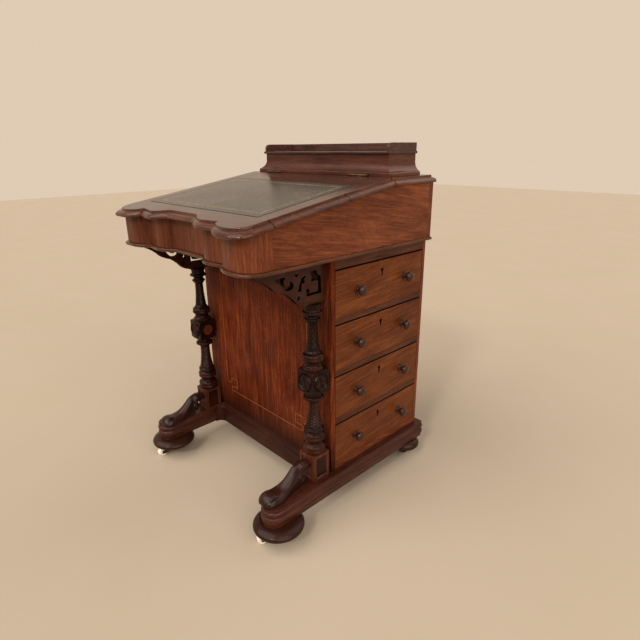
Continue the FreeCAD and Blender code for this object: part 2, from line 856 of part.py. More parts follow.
def serpentine(front, half, rear):
    """Plan of the desk from above: hollow middle, ridges, notches and rounded corner lobes."""
    right = [
        ("flat_half", front, 0),
        ("curve_x", f"{front} - curve_reach", WAVE_SHARE),
        ("ridge_x", f"{front} - ridge_reach", -WAVE_SHARE),
        ("notch_x", f"{front} - notch_reach", 0),
        ("lobe_x", f"{front} - lobe_start_reach", 0),
        ("lobe_front_x", f"{front} - lobe_reach", -LOBE_SHARE),
        (f"{half} - corner_radius", f"{front} - lobe_reach", 0),
        (half, f"{front} - lobe_reach + corner_radius", -QUARTER_SHARE),
    ]
    bows = [bow for x, y, bow in right[1:]] + [0]
    left = [(f"-({x})", y, bow) for (x, y, own), bow in zip(right, bows)]
    corners = [(half, rear, 0), (f"-({half})", rear, 0)]
    return left[::-1] + right + corners


bead_half = "box_half + bead_reach"
nodes.append(slabs("box_floor", "XY_Plane",
                   [([serpentine("bead_line", bead_half, "box_rear")], "case_top", "bead_height")]))


def lid_underside(y):
    """Height of the top edge of the desk box under the closed lid."""
    return f"top_base + ({y} - hinge_y) * tan(lid_slope)"


apron_front = "bead_line - lobe_reach - overrun"
apron = slabs("apron_blank", "XY_Plane",
              [([serpentine("bead_line + apron_set_back", "box_half", "apron_rear")], "box_base",
                "box_back_height")])
apron_slope = slabs("apron_slope", "YZ_Plane", [([[
    (apron_front, "box_base", 0),
    ("apron_rear", "box_base", 0),
    ("apron_rear", lid_underside("apron_rear"), 0),
    (apron_front, lid_underside(apron_front), 0),
]], "0", "box_width + 2 * overrun")])
seat(apron_slope, "-box_half - overrun")
nodes.append(both("box_front", apron, apron_slope))

side_outline = [
    ("apron_rear", "box_base", 0),
    ("box_back_face", "box_base", 0),
    ("box_back_face", "top_base", 0),
    ("hinge_y", "top_base", 0),
    ("apron_rear", lid_underside("apron_rear"), 0),
]
nodes.append(seat(slabs("box_side_right", "YZ_Plane", [([side_outline], "0", "box_wall")]), "box_inner"))
nodes.append(mirrored("box_side_left", nodes[-1]))
nodes.append(board("box_back", ("-box_half", "box_half"), ("box_back_face", "box_rear"),
                   ("box_base", "top_base")))

# Fixed flat top and slope lid, with the same stepped edge

top_front = "hinge_y + joint_half"
top_rear = "box_rear + top_rear_overhang"
top_low = board("top_low", ("-top_half", "top_half"), (top_front, top_rear),
                ("top_base", "top_face - lid_step_height"))
top_high = board("top_high", ("lid_step - top_half", "top_half - lid_step"), (top_front, "box_rear"),
                 ("top_face - lid_step_height", "top_face"))
nodes.append(joined("flat_top", [top_low, top_high]))


def on_slope(body):
    """Turn a flat body down about the hinge line."""
    tilt = FreeCAD.Rotation(FreeCAD.Vector(1, 0, 0), number("lid_slope"))
    body.Placement = FreeCAD.Placement(FreeCAD.Vector(), tilt)
    return seat(body, "0", "hinge_y", "top_face")


lid_outer = serpentine("lid_front", "top_half", "overrun")
lid_inner = serpentine("lid_front + lid_step", "top_half - lid_step", "overrun")
lid_slab = on_slope(slabs("lid_slab", "XY_Plane", [
    ([lid_outer], "-lid_thick", "lid_thick - lid_step_height"),
    ([lid_inner], "-lid_step_height", "lid_step_height"),
]))
leather_plan = [
    ("-leather_width / 2", "-leather_back_margin", 0),
    ("-leather_width / 2", "lid_front + leather_front_margin", 0),
    ("leather_width / 2", "lid_front + leather_front_margin", 0),
    ("leather_width / 2", "-leather_back_margin", 0),
]
leather = on_slope(slabs("leather", "XY_Plane", [([leather_plan], "-leather_thick", "leather_thick")]))
recess = on_slope(slabs("lid_recess", "XY_Plane", [
    ([leather_plan], "-leather_thick", "leather_thick + overrun"),
]))
lid_trim = board("lid_trim", ("-top_half - overrun", "top_half + overrun"),
                 ("hinge_y - joint_half", "hinge_y + lid_thick + overrun"),
                 ("top_base - lid_thick", "top_face + lid_thick"))
nodes.append(less("slope_lid", lid_slab, joined("lid_waste", [recess, lid_trim])))
nodes.append(leather)

# Hinges of three knuckles each

def hinge_knuckles(name, middle, y, z, length, span_shares, leaf_y, leaf_z):
    """Some knuckles of a hinge, with the webs that join them to their leaf."""
    pieces = []
    for index, (low, high) in enumerate(span_shares):
        start = f"({middle}) - {length} / 2 + {low} * {length} + leaf_gap / 2"
        wide = f"({high} - {low}) * {length} - leaf_gap"
        tag = f"{name}_{index + 1}"
        pieces.append(rod(tag + "_knuckle", "x", "knuckle_radius", wide, start, y, z))
        pieces.append(board(tag + "_web", (start, f"{start} + {wide}"), leaf_y, leaf_z))
    return pieces


def hinge(name, middle, y, z, length, leaf_y, leaf_z, web_z, fixed):
    """One leaf of a hinge. The fixed leaf holds the pin, the moving leaf turns on it."""
    span_shares = OUTER_KNUCKLES_SHARES if fixed else MIDDLE_KNUCKLE_SHARES
    pieces = hinge_knuckles(name, middle, y, z, length, span_shares, leaf_y, web_z)
    start = f"({middle}) - {length} / 2"
    pieces.append(board(name + "_plate", (start, f"{start} + {length}"), leaf_y, leaf_z))
    pin_radius = "hinge_pin_radius" if fixed else "hinge_pin_radius + running_gap"
    pin = rod(name + "_pin", "x", pin_radius, length, start, y, z)
    if fixed:
        return joined(name, pieces + [pin])
    return less(name, joined(name + "_whole", pieces), pin)


fixed_leaves = []
lid_leaves = []
gallery_leaves = []
plate_top = "hinge_z - knuckle_radius - 2 * leaf_gap"
hang = (f"{plate_top} - leaf_height", plate_top)
web_hang = (plate_top, "hinge_z")
small_low = "stationery_top - knuckle_radius - 2 * leaf_gap"
small_high = "stationery_top + knuckle_radius + 2 * leaf_gap"
small_leaf_y = ("stationery_rear", "stationery_rear + leaf_thick")
for side, sign in (("right", 1), ("left", -1)):
    middle = f"{sign} * hinge_spread / 2"
    fixed_leaves.append(hinge(f"top_leaf_{side}", middle, "hinge_y", "hinge_z", "hinge_length",
                              ("hinge_y + leaf_gap", "hinge_y + joint_half"), hang, web_hang, True))
    lid_leaves.append(hinge(f"lid_leaf_{side}", middle, "hinge_y", "hinge_z", "hinge_length",
                            ("hinge_y - joint_half", "hinge_y - leaf_gap"), hang, web_hang, False))
    middle = f"{sign} * small_hinge_spread / 2"
    fixed_leaves.append(hinge(f"wall_leaf_{side}", middle, "small_hinge_y", "stationery_top",
                              "small_hinge_length", small_leaf_y,
                              (f"{small_low} - leaf_height", small_low), (small_low, "stationery_top"), True))
    gallery_leaves.append(hinge(f"gallery_leaf_{side}", middle, "small_hinge_y", "stationery_top",
                                "small_hinge_length", small_leaf_y,
                                (small_high, f"{small_high} + leaf_height"),
                                ("stationery_top", small_high), False))
nodes.append(group("hinge_leaves_fixed", fixed_leaves))
nodes.append(group("hinge_leaves_lid", lid_leaves))
nodes.append(group("hinge_leaves_stationery", gallery_leaves))

# Stationery box: four walls hollowed outside, a lid and a low gallery on it

hollow_top = "cavetto_foot + cavetto_rise"
front_profile = [
    ("stationery_rear", "0", 0),
    ("stationery_rear", "stationery_height", 0),
    ("neck_front", "stationery_height", 0),
    ("neck_front", hollow_top, 0),
    ("stationery_front", "cavetto_foot", CAVETTO_SHARE),
    ("stationery_front", "0", 0),
]
end_profile = [
    ("stationery_half", "0", 0),
    ("stationery_half", "cavetto_foot", 0),
    ("neck_half", hollow_top, CAVETTO_SHARE),
    ("neck_half", "stationery_height", 0),
    ("-neck_half", "stationery_height", 0),
    ("-neck_half", hollow_top, 0),
    ("-stationery_half", "cavetto_foot", CAVETTO_SHARE),
    ("-stationery_half", "0", 0),
]
along_x = seat(slabs("stationery_along", "YZ_Plane", [([front_profile], "0", "stationery_width")]),
               "-stationery_half", "0", "top_face")
across_y = seat(slabs("stationery_across", "XZ_Plane", [([end_profile], "0", "stationery_depth")]),
                "0", "stationery_rear", "top_face")
well = board("stationery_well", ("-well_half", "well_half"), ("well_front", "well_rear"),
             ("top_face - overrun", "stationery_top + overrun"))
ring = less("stationery_ring", both("stationery_form", along_x, across_y), well)
wall_z = ("top_face", "stationery_top")
wall_y = ("stationery_front", "stationery_rear")
wall_regions = {
    "right": (("well_half", "stationery_half"), wall_y),
    "left": (("-stationery_half", "-well_half"), wall_y),
    "front": (("-well_half", "well_half"), ("stationery_front", "well_front")),
    "rear": (("-well_half", "well_half"), ("well_rear", "stationery_rear")),
}
walls = []
for side, (region_x, region_y) in wall_regions.items():
    region = board(f"stationery_{side}_region", region_x, region_y, wall_z)
    walls.append(both(f"stationery_{side}_wall", ring, region))
nodes.append(group("stationery_walls", walls))
nodes.append(board("stationery_lid", ("-stationery_lid_half", "stationery_lid_half"),
                   ("stationery_lid_front", "stationery_rear"), ("stationery_top", "gallery_base")))

gallery_front = "stationery_lid_front + gallery_set_back"
gallery_end = [
    ("stationery_rear", "0", 0),
    ("stationery_rear", "gallery_height", 0),
    (f"{gallery_front} + gallery_corner", "gallery_height", 0),
    (gallery_front, "gallery_height - gallery_corner", -QUARTER_SHARE),
    (gallery_front, "0", 0),
]
gallery_right = seat(slabs("gallery_right", "YZ_Plane", [([gallery_end], "0", "gallery_thick")]),
                     "gallery_half - gallery_thick", "0", "gallery_base")
gallery_back = board("gallery_back", ("gallery_thick - gallery_half", "gallery_half - gallery_thick"),
                     ("stationery_rear - gallery_thick", "stationery_rear"),
                     ("gallery_base", "gallery_base + gallery_height"))
nodes.append(group("gallery", [gallery_right, mirrored("gallery_left", gallery_right), gallery_back]))

# Nest of two small drawers under the flat top, inside the desk box

nest_y = ("nest_front", "box_back_face")
shelf = board("nest_shelf", ("-box_inner", "box_inner"), nest_y, ("nest_top", "nest_top + nest_board"))
partition = board("nest_partition", ("-nest_board / 2", "nest_board / 2"), nest_y, ("box_base", "nest_top"))
nodes.append(group("interior_nest", [shelf, partition]))


def small_drawer(name, sign):
    """Small drawer of a front, two sides, a back and a bottom, with its knob."""
    ends = ["nest_board / 2 + small_drawer_gap", "box_inner - small_drawer_gap"]
    inner = ["nest_board / 2 + small_drawer_gap + small_drawer_side",
             "box_inner - small_drawer_gap - small_drawer_side"]
    if sign < 0:
        ends = [f"-({text})" for text in reversed(ends)]
        inner = [f"-({text})" for text in reversed(inner)]
    high = "nest_top - small_drawer_gap"
    face_y = ("nest_front", "nest_front + small_drawer_front")
    rear = "box_back_face - small_drawer_gap"
    tray_y = (face_y[1], rear)
    inner_y = (face_y[1], f"{rear} - small_drawer_side")
    handle = turned(name + "_knob", KNOB_SHARES, "small_knob_radius", "small_knob_length")
    lying(handle, FreeCAD.Vector(1, 0, 0), 90)
    seat(handle, f"(({ends[0]}) + ({ends[1]})) / 2", "nest_front", f"(box_base + {high}) / 2")
    return group(name, [
        board(name + "_face", ends, face_y, ("box_base", high)),
        board(name + "_near_side", (ends[0], inner[0]), tray_y, ("box_base", high)),
        board(name + "_far_side", (inner[1], ends[1]), tray_y, ("box_base", high)),
        board(name + "_back", inner, (inner_y[1], rear), ("box_base", high)),
        board(name + "_bottom", inner, inner_y, ("box_base", "box_base + small_drawer_side")),
        handle,
    ])


nodes.append(small_drawer("interior_drawer_right", 1))
nodes.append(small_drawer("interior_drawer_left", -1))

# Checks and files

doc.recompute()
failed = [item.Name for item in doc.Objects if {"Invalid", "Error"} & set(item.State)]
if failed:
    raise RuntimeError("Failed objects: " + ", ".join(failed))
for node in nodes:
    if node.Shape.isNull() or not node.Shape.isValid() or not node.Shape.Solids:
        raise RuntimeError("Bad shape: " + node.Name)

os.makedirs("parts", exist_ok=True)
for node in nodes:
    node.Shape.exportStep(f"parts/{node.Label}.step")
whole = Part.makeCompound([node.Shape for node in nodes]).optimalBoundingBox()
print(len(nodes), "nodes", [round(edge, 2) for edge in
                            (whole.XMin, whole.XMax, whole.YMin, whole.YMax, whole.ZMin, whole.ZMax)])
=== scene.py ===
import math

import bmesh
import bpy
from mathutils import Matrix, Vector


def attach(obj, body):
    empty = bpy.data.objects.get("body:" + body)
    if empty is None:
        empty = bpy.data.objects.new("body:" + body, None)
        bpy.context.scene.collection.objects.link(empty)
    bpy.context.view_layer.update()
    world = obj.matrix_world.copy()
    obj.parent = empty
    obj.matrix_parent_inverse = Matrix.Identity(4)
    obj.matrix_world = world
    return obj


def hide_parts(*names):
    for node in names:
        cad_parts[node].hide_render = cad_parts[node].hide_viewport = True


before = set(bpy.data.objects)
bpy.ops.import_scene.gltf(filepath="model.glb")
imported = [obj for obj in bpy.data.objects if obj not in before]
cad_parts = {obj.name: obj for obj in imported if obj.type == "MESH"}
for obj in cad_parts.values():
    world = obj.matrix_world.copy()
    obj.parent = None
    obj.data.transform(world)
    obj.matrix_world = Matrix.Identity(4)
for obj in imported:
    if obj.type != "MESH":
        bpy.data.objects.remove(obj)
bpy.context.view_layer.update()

# Everything is drawn in millimetres and made metres when a piece is hung on its body
MM = 0.001

# Finishes


def tone(red, green, blue):
    """A colour as the eye sees it, 0 to 255, made linear for the shader."""
    return tuple(((part / 255 + 0.055) / 1.055) ** 2.4 for part in (red, green, blue)) + (1.0,)


class Finish:
    """One finish, built up node by node over Object coordinates."""

    def __init__(self, name):
        self.material = bpy.data.materials.new(name)
        self.material.use_nodes = True
        self.tree = self.material.node_tree
        self.shader = self.tree.nodes["Principled BSDF"]
        self.place = self.node("TexCoord").outputs["Object"]

    def feed(self, socket, value):
        if isinstance(value, bpy.types.NodeSocket):
            self.tree.links.new(value, socket)
        else:
            socket.default_value = value

    def node(self, kind, **inputs):
        """New shader node with its inputs fed by name."""
        made = self.tree.nodes.new("ShaderNode" + kind)
        for name, value in inputs.items():
            self.feed(made.inputs[name], value)
        return made

    def along(self, axis):
        """Place of a point on one axis, in metres."""
        return self.node("SeparateXYZ", Vector=self.place).outputs[axis]

    def noise(self, scale, detail, rough, twist=0.0, turn=(0, 0, 0), shift=(0, 0, 0)):
        """Cloudy pattern, turned and shifted, then stretched. A single scale serves all three axes."""
        stretch = scale if isinstance(scale, (list, tuple)) else [scale] * 3
        leant = self.node("Mapping", Vector=self.place, Location=shift, Rotation=turn).outputs["Vector"]
        stretched = self.node("Mapping", Vector=leant, Scale=stretch).outputs["Vector"]
        return self.node("TexNoise", Vector=stretched, Scale=1.0, Detail=detail, Roughness=rough,
                         Distortion=twist).outputs["Fac"]

    def sums(self, kind, *values):
        """One step of arithmetic."""
        step = self.node("Math")
        step.operation = kind
        for socket, value in zip(step.inputs, values):
            self.feed(socket, value)
        return step.outputs["Value"]

    def weighted(self, *parts):
        """Sum of values, each times its share."""
        total = 0.0
        for value, share in parts:
            total = self.sums("MULTIPLY_ADD", value, share, total)
        return total

    def ramp(self, value, *stops):
        """Colours, or grey levels, at places between 0 and 1."""
        node = self.node("ValToRGB", Fac=value)
        band = node.color_ramp.elements
        while len(band) < len(stops):
            band.new(0.5)
        for element, (place, colour) in zip(band, stops):
            element.position = place
            element.color = colour if isinstance(colour, tuple) else (colour, colour, colour, 1.0)
        return node.outputs["Color"]

    def mixed(self, share, first, second):
        """Colour between two. The sockets 6, 7 and 2 are the colour ones."""
        node = self.node("Mix")
        node.data_type = "RGBA"
        for socket, value in ((0, share), (6, first), (7, second)):
            self.feed(node.inputs[socket], value)
        return node.outputs[2]

    def carved(self):
        """How proud or deep the carver left a point, from the piece's own attribute."""
        node = self.node("Attribute")
        node.attribute_name = "rise"
        return node.outputs["Fac"]

    def bumped(self, height, strength, depth):
        node = self.node("Bump", Height=height, Strength=strength, Distance=depth)
        self.feed(self.shader.inputs["Normal"], node.outputs["Normal"])

    def shine(self, rough, gloss=0.2, metal=0.0, coat=0.0):
        for name, value in (("Roughness", rough), ("Specular IOR Level", gloss), ("Metallic", metal),
                            ("Coat Weight", coat), ("Coat Roughness", 0.08)):
            self.feed(self.shader.inputs[name], value)

    def colour(self, value):
        self.feed(self.shader.inputs["Base Color"], value)
        return self.material


def polished_veneer(name, along, tones, lean=(0, 0, 0), shift=(0, 0, 0), gloss=0.12, rough=(0.3, 0.44),
                    low_end_shade=None, shade=None):
    """French-polished veneer with its grain along one axis. The tones run from dark streak to light.

    It is painted darker as shade towards the low end of an axis, and painted shade darkens its top between two edges.
    """
    wood = Finish(name)

    def grain(across, lengthwise, *noise):
        scale = [across] * 3
        scale[along] = lengthwise
        return wood.noise(scale, *noise, turn=lean, shift=shift)

    broad = grain(11, 4, 4, 0.6, 0.8)
    figure = wood.sums("SINE", wood.sums("MULTIPLY", broad, 150))
    flecks = grain(150, 10, 4, 0.6, 0.6)
    streaks = grain(430, 16, 4, 0.65, 0.4)
    pores = wood.ramp(grain(1400, 110, 2, 0.5), (0.56, 0), (0.7, 1))
    body = wood.weighted((broad, 0.32), (flecks, 0.38), (streaks, 0.3), (figure, 0.018))
    dark, middle, light = [tone(*colour) for colour in tones]
    colour = wood.ramp(body, (0.37, dark), (0.5, middle), (0.63, light))
    colour = wood.mixed(wood.sums("MULTIPLY", pores, 0.35), colour, dark)
    # Painted shade, darker towards the low end of an axis
    if low_end_shade:
        axis, low, high, share = low_end_shade
        place = wood.sums("ADD", wood.along(axis), 0.5)
        colour = wood.mixed(wood.ramp(place, (low + 0.5, share), (high + 0.5, 0)), colour, tone(26, 9, 6))
    # Painted shade across the top, fading out short of two edges
    if shade:
        (low, high), (near, far), share = shade
        above = wood.ramp(wood.along("Z"), (low, 0), (high, share))
        between_edges = wood.ramp(wood.sums("ABSOLUTE", wood.along("X")), (near, 1), (far, 0))
        colour = wood.mixed(wood.sums("MULTIPLY", above, between_edges), colour, tone(14, 5, 3))
    wood.shine(wood.ramp(wood.noise(9, 4, 0.6), (0.35, rough[0]), (0.65, rough[1])), gloss)
    wood.bumped(wood.weighted((streaks, 1), (pores, -0.5)), 0.1, 0.0004)
    return wood.colour(colour)


def carved_walnut(name, tones, along, gloss, rough):
    """Dark stained carving, painted near black in its hollows as shade and rubbed reddish on its high places."""
    wood = Finish(name)
    scale = [90] * 3
    scale[along] = 7
    streaks = wood.noise(scale, 4, 0.6, 0.4)
    patches = wood.noise(22, 3, 0.55)
    # Depth of the carving sets the colour: hollows painted dark as shade, high places rubbed reddish
    level = wood.sums("ADD", wood.weighted((wood.carved(), 0.5), (patches, 0.45)), 0.275)
    deep, middle, worn = [tone(*colour) for colour in tones]
    colour = wood.ramp(level, (0.1, deep), (0.5, middle), (0.95, worn))
    colour = wood.mixed(wood.sums("MULTIPLY", streaks, 0.55), colour, deep)
    wood.shine(wood.ramp(patches, (0.35, rough[0]), (0.7, rough[1])), gloss)
    wood.bumped(streaks, 0.12, 0.0004)
    return wood.colour(colour)


def waxed_mahogany():
    """Plain unpolished wood inside the drawers and the desk, its grain across the desk."""
    wood = Finish("waxed mahogany, grain across")
    streaks = wood.noise((3, 70, 70), 5, 0.65, 0.7)
    stains = wood.noise(8, 3, 0.6)
    colour = wood.ramp(streaks, (0.25, tone(96, 56, 32)), (0.55, tone(138, 86, 52)), (0.8, tone(164, 108, 68)))
    colour = wood.mixed(wood.ramp(stains, (0.45, 0), (0.8, 0.5)), colour, tone(84, 50, 30))
    wood.shine(wood.ramp(streaks, (0.3, 0.52), (0.7, 0.66)))
    wood.bumped(streaks, 0.15, 0.0004)
    return wood.colour(colour)


def worn_skiver():
    """Olive grey writing leather, rubbed in patches, with a painted reflection that makes it lighter towards the
    left.
    """
    hide = Finish("worn olive skiver")
    patches = hide.noise(7, 4, 0.6, 0.6)
    rubs = hide.noise((9, 34, 34), 4, 0.65, turn=(0, 0, 0.5))
    grain = hide.node("TexVoronoi", Vector=hide.place, Scale=900).outputs["Distance"]
    plain_hide = hide.ramp(patches, (0.3, tone(40, 34, 28)), (0.55, tone(50, 43, 34)), (0.8, tone(62, 53, 43)))
    reflecting_hide = hide.ramp(patches, (0.3, tone(50, 43, 34)), (0.55, tone(62, 53, 43)), (0.8, tone(73, 63, 52)))
    # Painted reflection: the leather is mixed lighter towards the left
    side = hide.ramp(hide.sums("ADD", hide.along("X"), 0.5), (0.36, 0), (0.64, 1))
    colour = hide.mixed(side, reflecting_hide, plain_hide)
    colour = hide.mixed(hide.ramp(rubs, (0.58, 0), (0.78, 0.35)), colour, tone(118, 107, 90))
    hide.shine(hide.ramp(patches, (0.35, 0.2), (0.7, 0.3)), 0.33)
    hide.bumped(hide.weighted((grain, 1), (rubs, 0.6)), 0.22, 0.0004)
    return hide.colour(colour)


def rubbed_gilt():
    """Tooled gold line, half worn off the leather."""
    line = Finish("rubbed gilt line")
    gone = line.ramp(line.noise(160, 3, 0.6), (0.42, 0), (0.58, 1))
    line.shine(0.42)
    return line.colour(line.mixed(gone, tone(74, 68, 52), tone(150, 136, 102)))


def aged_brass(name, dull, bright):
    """Brass gone brown, brighter where it is touched."""
    metal = Finish(name)
    patches = metal.noise(60, 4, 0.6)
    metal.shine(metal.ramp(patches, (0.3, 0.36), (0.7, 0.56)), 0.5, metal=1)
    metal.bumped(patches, 0.1, 0.0003)
    return metal.colour(metal.ramp(patches, (0.34, dull), (0.62, bright)))


def glazed_wheel():
    """White glazed ceramic with faint cream stains."""
    pot = Finish("white glaze")
    stains = pot.noise(70, 4, 0.6)
    pot.shine(pot.ramp(stains, (0.3, 0.16), (0.7, 0.3)), 0.5, coat=0.2)
    return pot.colour(pot.ramp(stains, (0.28, tone(222, 204, 178)), (0.48, tone(243, 234, 218)),
                               (0.75, tone(249, 244, 234))))


def boxwood_stringing():
    """Thin pale inlaid line, dulled and reddened by polish."""
    line = Finish("boxwood stringing")
    streaks = line.noise(90, 3, 0.6)
    line.shine(0.4)
    return line.colour(line.ramp(streaks, (0.3, tone(118, 58, 28)), (0.7, tone(164, 92, 48))))


ALONG_X, ALONG_Y, ALONG_Z = 0, 1, 2
WALNUT = (72, 33, 18), (104, 53, 31), (134, 75, 44)
DRAWER = (68, 30, 12), (96, 47, 20), (124, 68, 32)
PANEL = (52, 16, 6), (95, 39, 18), (138, 66, 33)
TOP = (44, 21, 15), (64, 35, 25), (84, 51, 38)
EDGE = (46, 21, 12), (74, 37, 22), (102, 55, 33)
RUNNER = (34, 13, 8), (60, 26, 15), (84, 42, 26)
# The plinth's tones are darkened as painted shade, low under the case
PLINTH = (26, 9, 5), (46, 18, 11), (66, 31, 19)
RAIL = (50, 24, 15), (74, 39, 25), (96, 54, 35)
HOLLOW = (46, 20, 14), (72, 36, 26), (98, 54, 39)
GALLERY = (42, 22, 17), (68, 40, 33), (92, 60, 50)
REDDISH = (44, 18, 11), (72, 33, 20), (96, 48, 30)
MATT, POLISHED, BRIGHT = (0.6, 0.75), (0.2, 0.32), (0.14, 0.22)

walnut_x = polished_veneer("walnut veneer, grain across the desk", ALONG_X, WALNUT)
walnut_y = polished_veneer("walnut veneer, grain front to back", ALONG_Y, WALNUT, lean=(0.16, 0, 0))
walnut_z = polished_veneer("walnut veneer, upright grain", ALONG_Z, WALNUT)
# Painted shade on the apron: darker towards its left, which faces away from the light
apron_veneer = polished_veneer("apron veneer", ALONG_Z, WALNUT, low_end_shade=("X", -0.25, 0.2, 0.45))
rail_wood = polished_veneer("drawer rail wood", ALONG_Y, RAIL)
drawer_veneer = polished_veneer("drawer veneer", ALONG_Y, DRAWER, lean=(-0.09, 0, 0))
# Painted shade on the front panel: darker towards its bottom above the plinth, and darker at its top under the desk
# box, short of the stiles at its ends
panel_veneer = polished_veneer("front panel veneer", ALONG_Z, PANEL, gloss=0.05, low_end_shade=("Z", 0.11, 0.21, 0.85),
                               shade=((0.497, 0.522), (0.205, 0.225), 0.8))
runner_wood = polished_veneer("runner wood", ALONG_Y, RUNNER, gloss=0.2)
plinth_wood = polished_veneer("plinth wood", ALONG_X, PLINTH, shift=(3, 0, 0))
top_veneer = polished_veneer("faded top veneer", ALONG_X, TOP, gloss=0.42, rough=(0.13, 0.21))
edge_x = polished_veneer("moulded edge wood", ALONG_X, EDGE, gloss=0.28, rough=BRIGHT)
edge_y = polished_veneer("moulded edge wood, front to back", ALONG_Y, EDGE, gloss=0.28, rough=BRIGHT)
hollow_wood = polished_veneer("hollowed wall wood", ALONG_X, HOLLOW, gloss=0.18, rough=POLISHED)
gallery_wood = polished_veneer("gallery wood", ALONG_X, GALLERY, gloss=0.3, rough=POLISHED)
reddish_block = polished_veneer("reddish base block", ALONG_Z, REDDISH)
carved = carved_walnut("dark carved walnut", ((12, 5, 3), (38, 15, 9), (98, 46, 27)), ALONG_Z, 0.11, BRIGHT)
pierced = carved_walnut("dark pierced walnut", ((20, 9, 6), (62, 30, 20), (112, 60, 42)), ALONG_Y, 0.16, POLISHED)
# Dark brown for painted shade in the gaps above the drawers and inside their keyholes
gap_shade_edge = carved_walnut("drawer edge painted dark as gap shade", ((22, 11, 7), (42, 21, 13), (62, 33, 21)), ALONG_Y, 0.04, MATT)
# Near black: painted shade on the walls of the piercing, and dark joints and edges elsewhere
shade_and_joint_black = carved_walnut("near black, for painted shade and dark joints", ((5, 2, 1), (10, 4, 3), (20, 9, 6)), ALONG_X, 0.02, MATT)
scroll_wood = carved_walnut("polished scroll walnut", ((16, 7, 5), (44, 21, 15), (88, 48, 35)), ALONG_Y, 0.2,
                            (0.16, 0.26))
knob_wood = carved_walnut("polished knob wood", ((28, 12, 7), (60, 30, 19), (100, 56, 36)), ALONG_X, 0.28,
                          (0.12, 0.2))
bun_wood = carved_walnut("bun foot wood", ((28, 12, 8), (48, 24, 16), (72, 40, 29)), ALONG_Z, 0.15, (0.2, 0.3))
inside_x = waxed_mahogany()
skiver = worn_skiver()
gilt = rubbed_gilt()
brass = aged_brass("aged brass", tone(58, 46, 31), tone(102, 86, 62))
# Dark brass painted as shade, for the lock face seen through the keyhole and the castor forks
shade_dark_brass = aged_brass("brass painted dark as shade", tone(34, 26, 18), tone(92, 70, 42))
glaze = glazed_wheel()
boxwood = boxwood_stringing()

# Shaping helpers


def shown(name, data):
    """New object in the scene."""
    made = bpy.data.objects.new(name, data)
    bpy.context.scene.collection.objects.link(made)
    return made


def scaled(shape, x, y, z):
    bmesh.ops.scale(shape, vec=(x, y, z), verts=shape.verts)
    return shape


def merged(shape, reach):
    """Join points that lie within reach of each other."""
    bmesh.ops.remove_doubles(shape, verts=shape.verts, dist=reach)
    return shape


def add_piece(name, shape, body, finishes, stands_for=(), smooth=35):
    """Turn a shape outwards, make it metres and hang it on its body."""
    bmesh.ops.recalc_face_normals(shape, faces=shape.faces)
    scaled(shape, MM, MM, MM)
    mesh = bpy.data.meshes.new(name)
    shape.to_mesh(mesh)
    shape.free()
    for finish in finishes:
        mesh.materials.append(finish)
    mesh.shade_smooth()
    mesh.set_sharp_from_angle(angle=math.radians(smooth))
    piece = shown(name, mesh)
    piece.modifiers.new("flat faces stay flat", "WEIGHTED_NORMAL").keep_sharp = True
    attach(piece, body)
    if stands_for:
        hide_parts(*stands_for)


def add_pair(name, right, finishes, node, smooth=35):
    """A piece on the right of the desk and its mirror image on the left."""
    for side, shape in (("left", other_side(right)), ("right", right)):
        add_piece(f"{name}_{side}", shape, "desk", finishes, [f"{node}_{side}"], smooth)


def gathered(shapes):
    """Several shapes as one."""
    whole = bmesh.new()
    for shape in shapes:
        loose = bpy.data.meshes.new("loose")
        shape.to_mesh(loose)
        whole.from_mesh(loose)
        bpy.data.meshes.remove(loose)
        shape.free()
    return whole


def placed(shape, matrix):
    bmesh.ops.transform(shape, matrix=matrix, verts=shape.verts)
    return shape


def moved(shape, x, y, z):
    return placed(shape, Matrix.Translation((x, y, z)))


def other_side(shape):
    """The same shape on the other side of the middle plane."""
    twin = scaled(shape.copy(), -1, 1, 1)
    bmesh.ops.reverse_faces(twin, faces=twin.faces)
    return twin


def both_sides(shape):
    return gathered([other_side(shape), shape])


def soften(shape, width, angle=40):
    """Round the sharp edges."""
    edges = [edge for edge in shape.edges
             if len(edge.link_faces) == 2 and edge.calc_face_angle() > math.radians(angle)]
    bmesh.ops.bevel(shape, geom=edges, offset=width, offset_type="OFFSET", segments=2, profile=0.5,
                    affect="EDGES", material=-1, clamp_overlap=True)
    return shape


def block(x, y, z):
    """Plain block between two ends on each axis."""
    shape = bmesh.new()
    bmesh.ops.create_cube(shape, size=1.0)
    scaled(shape, *[high - low for low, high in (x, y, z)])
    return moved(shape, *[(low + high) / 2 for low, high in (x, y, z)])


def plank(x, y, z, ease=0.8):
    """Board between two ends on each axis, with eased edges."""
    return soften(block(x, y, z), ease)


def eased(node, width, angle=40):
    """Copy of a single solid from the frame, merged, with its sharp edges rounded."""
    shape = bmesh.new()
    shape.from_mesh(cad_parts[node].data)
    merged(scaled(shape, 1 / MM, 1 / MM, 1 / MM), 0.005)
    bmesh.ops.dissolve_limit(shape, angle_limit=math.radians(1), verts=shape.verts, edges=shape.edges)
    return soften(shape, width, angle)


def arc(start, end, bow, fine):
    """Points after start on a line that bows to its left by a share of its length."""
    if not bow:
        return [end]
    chord = end - start
    ahead = chord.normalized()
    left = Vector((-ahead.y, ahead.x))
    sag = bow * chord.length
    radius = (chord.length ** 2 / 4 + sag ** 2) / (2 * sag)
    centre = (start + end) / 2 + left * (sag - radius)
    half = math.asin(min(1.0, chord.length / 2 / abs(radius)))
    angles = [half * (2 * step / fine - 1) for step in range(1, fine + 1)]
    return [centre + left * radius * math.cos(angle) + ahead * abs(radius) * math.sin(angle) for angle in angles]


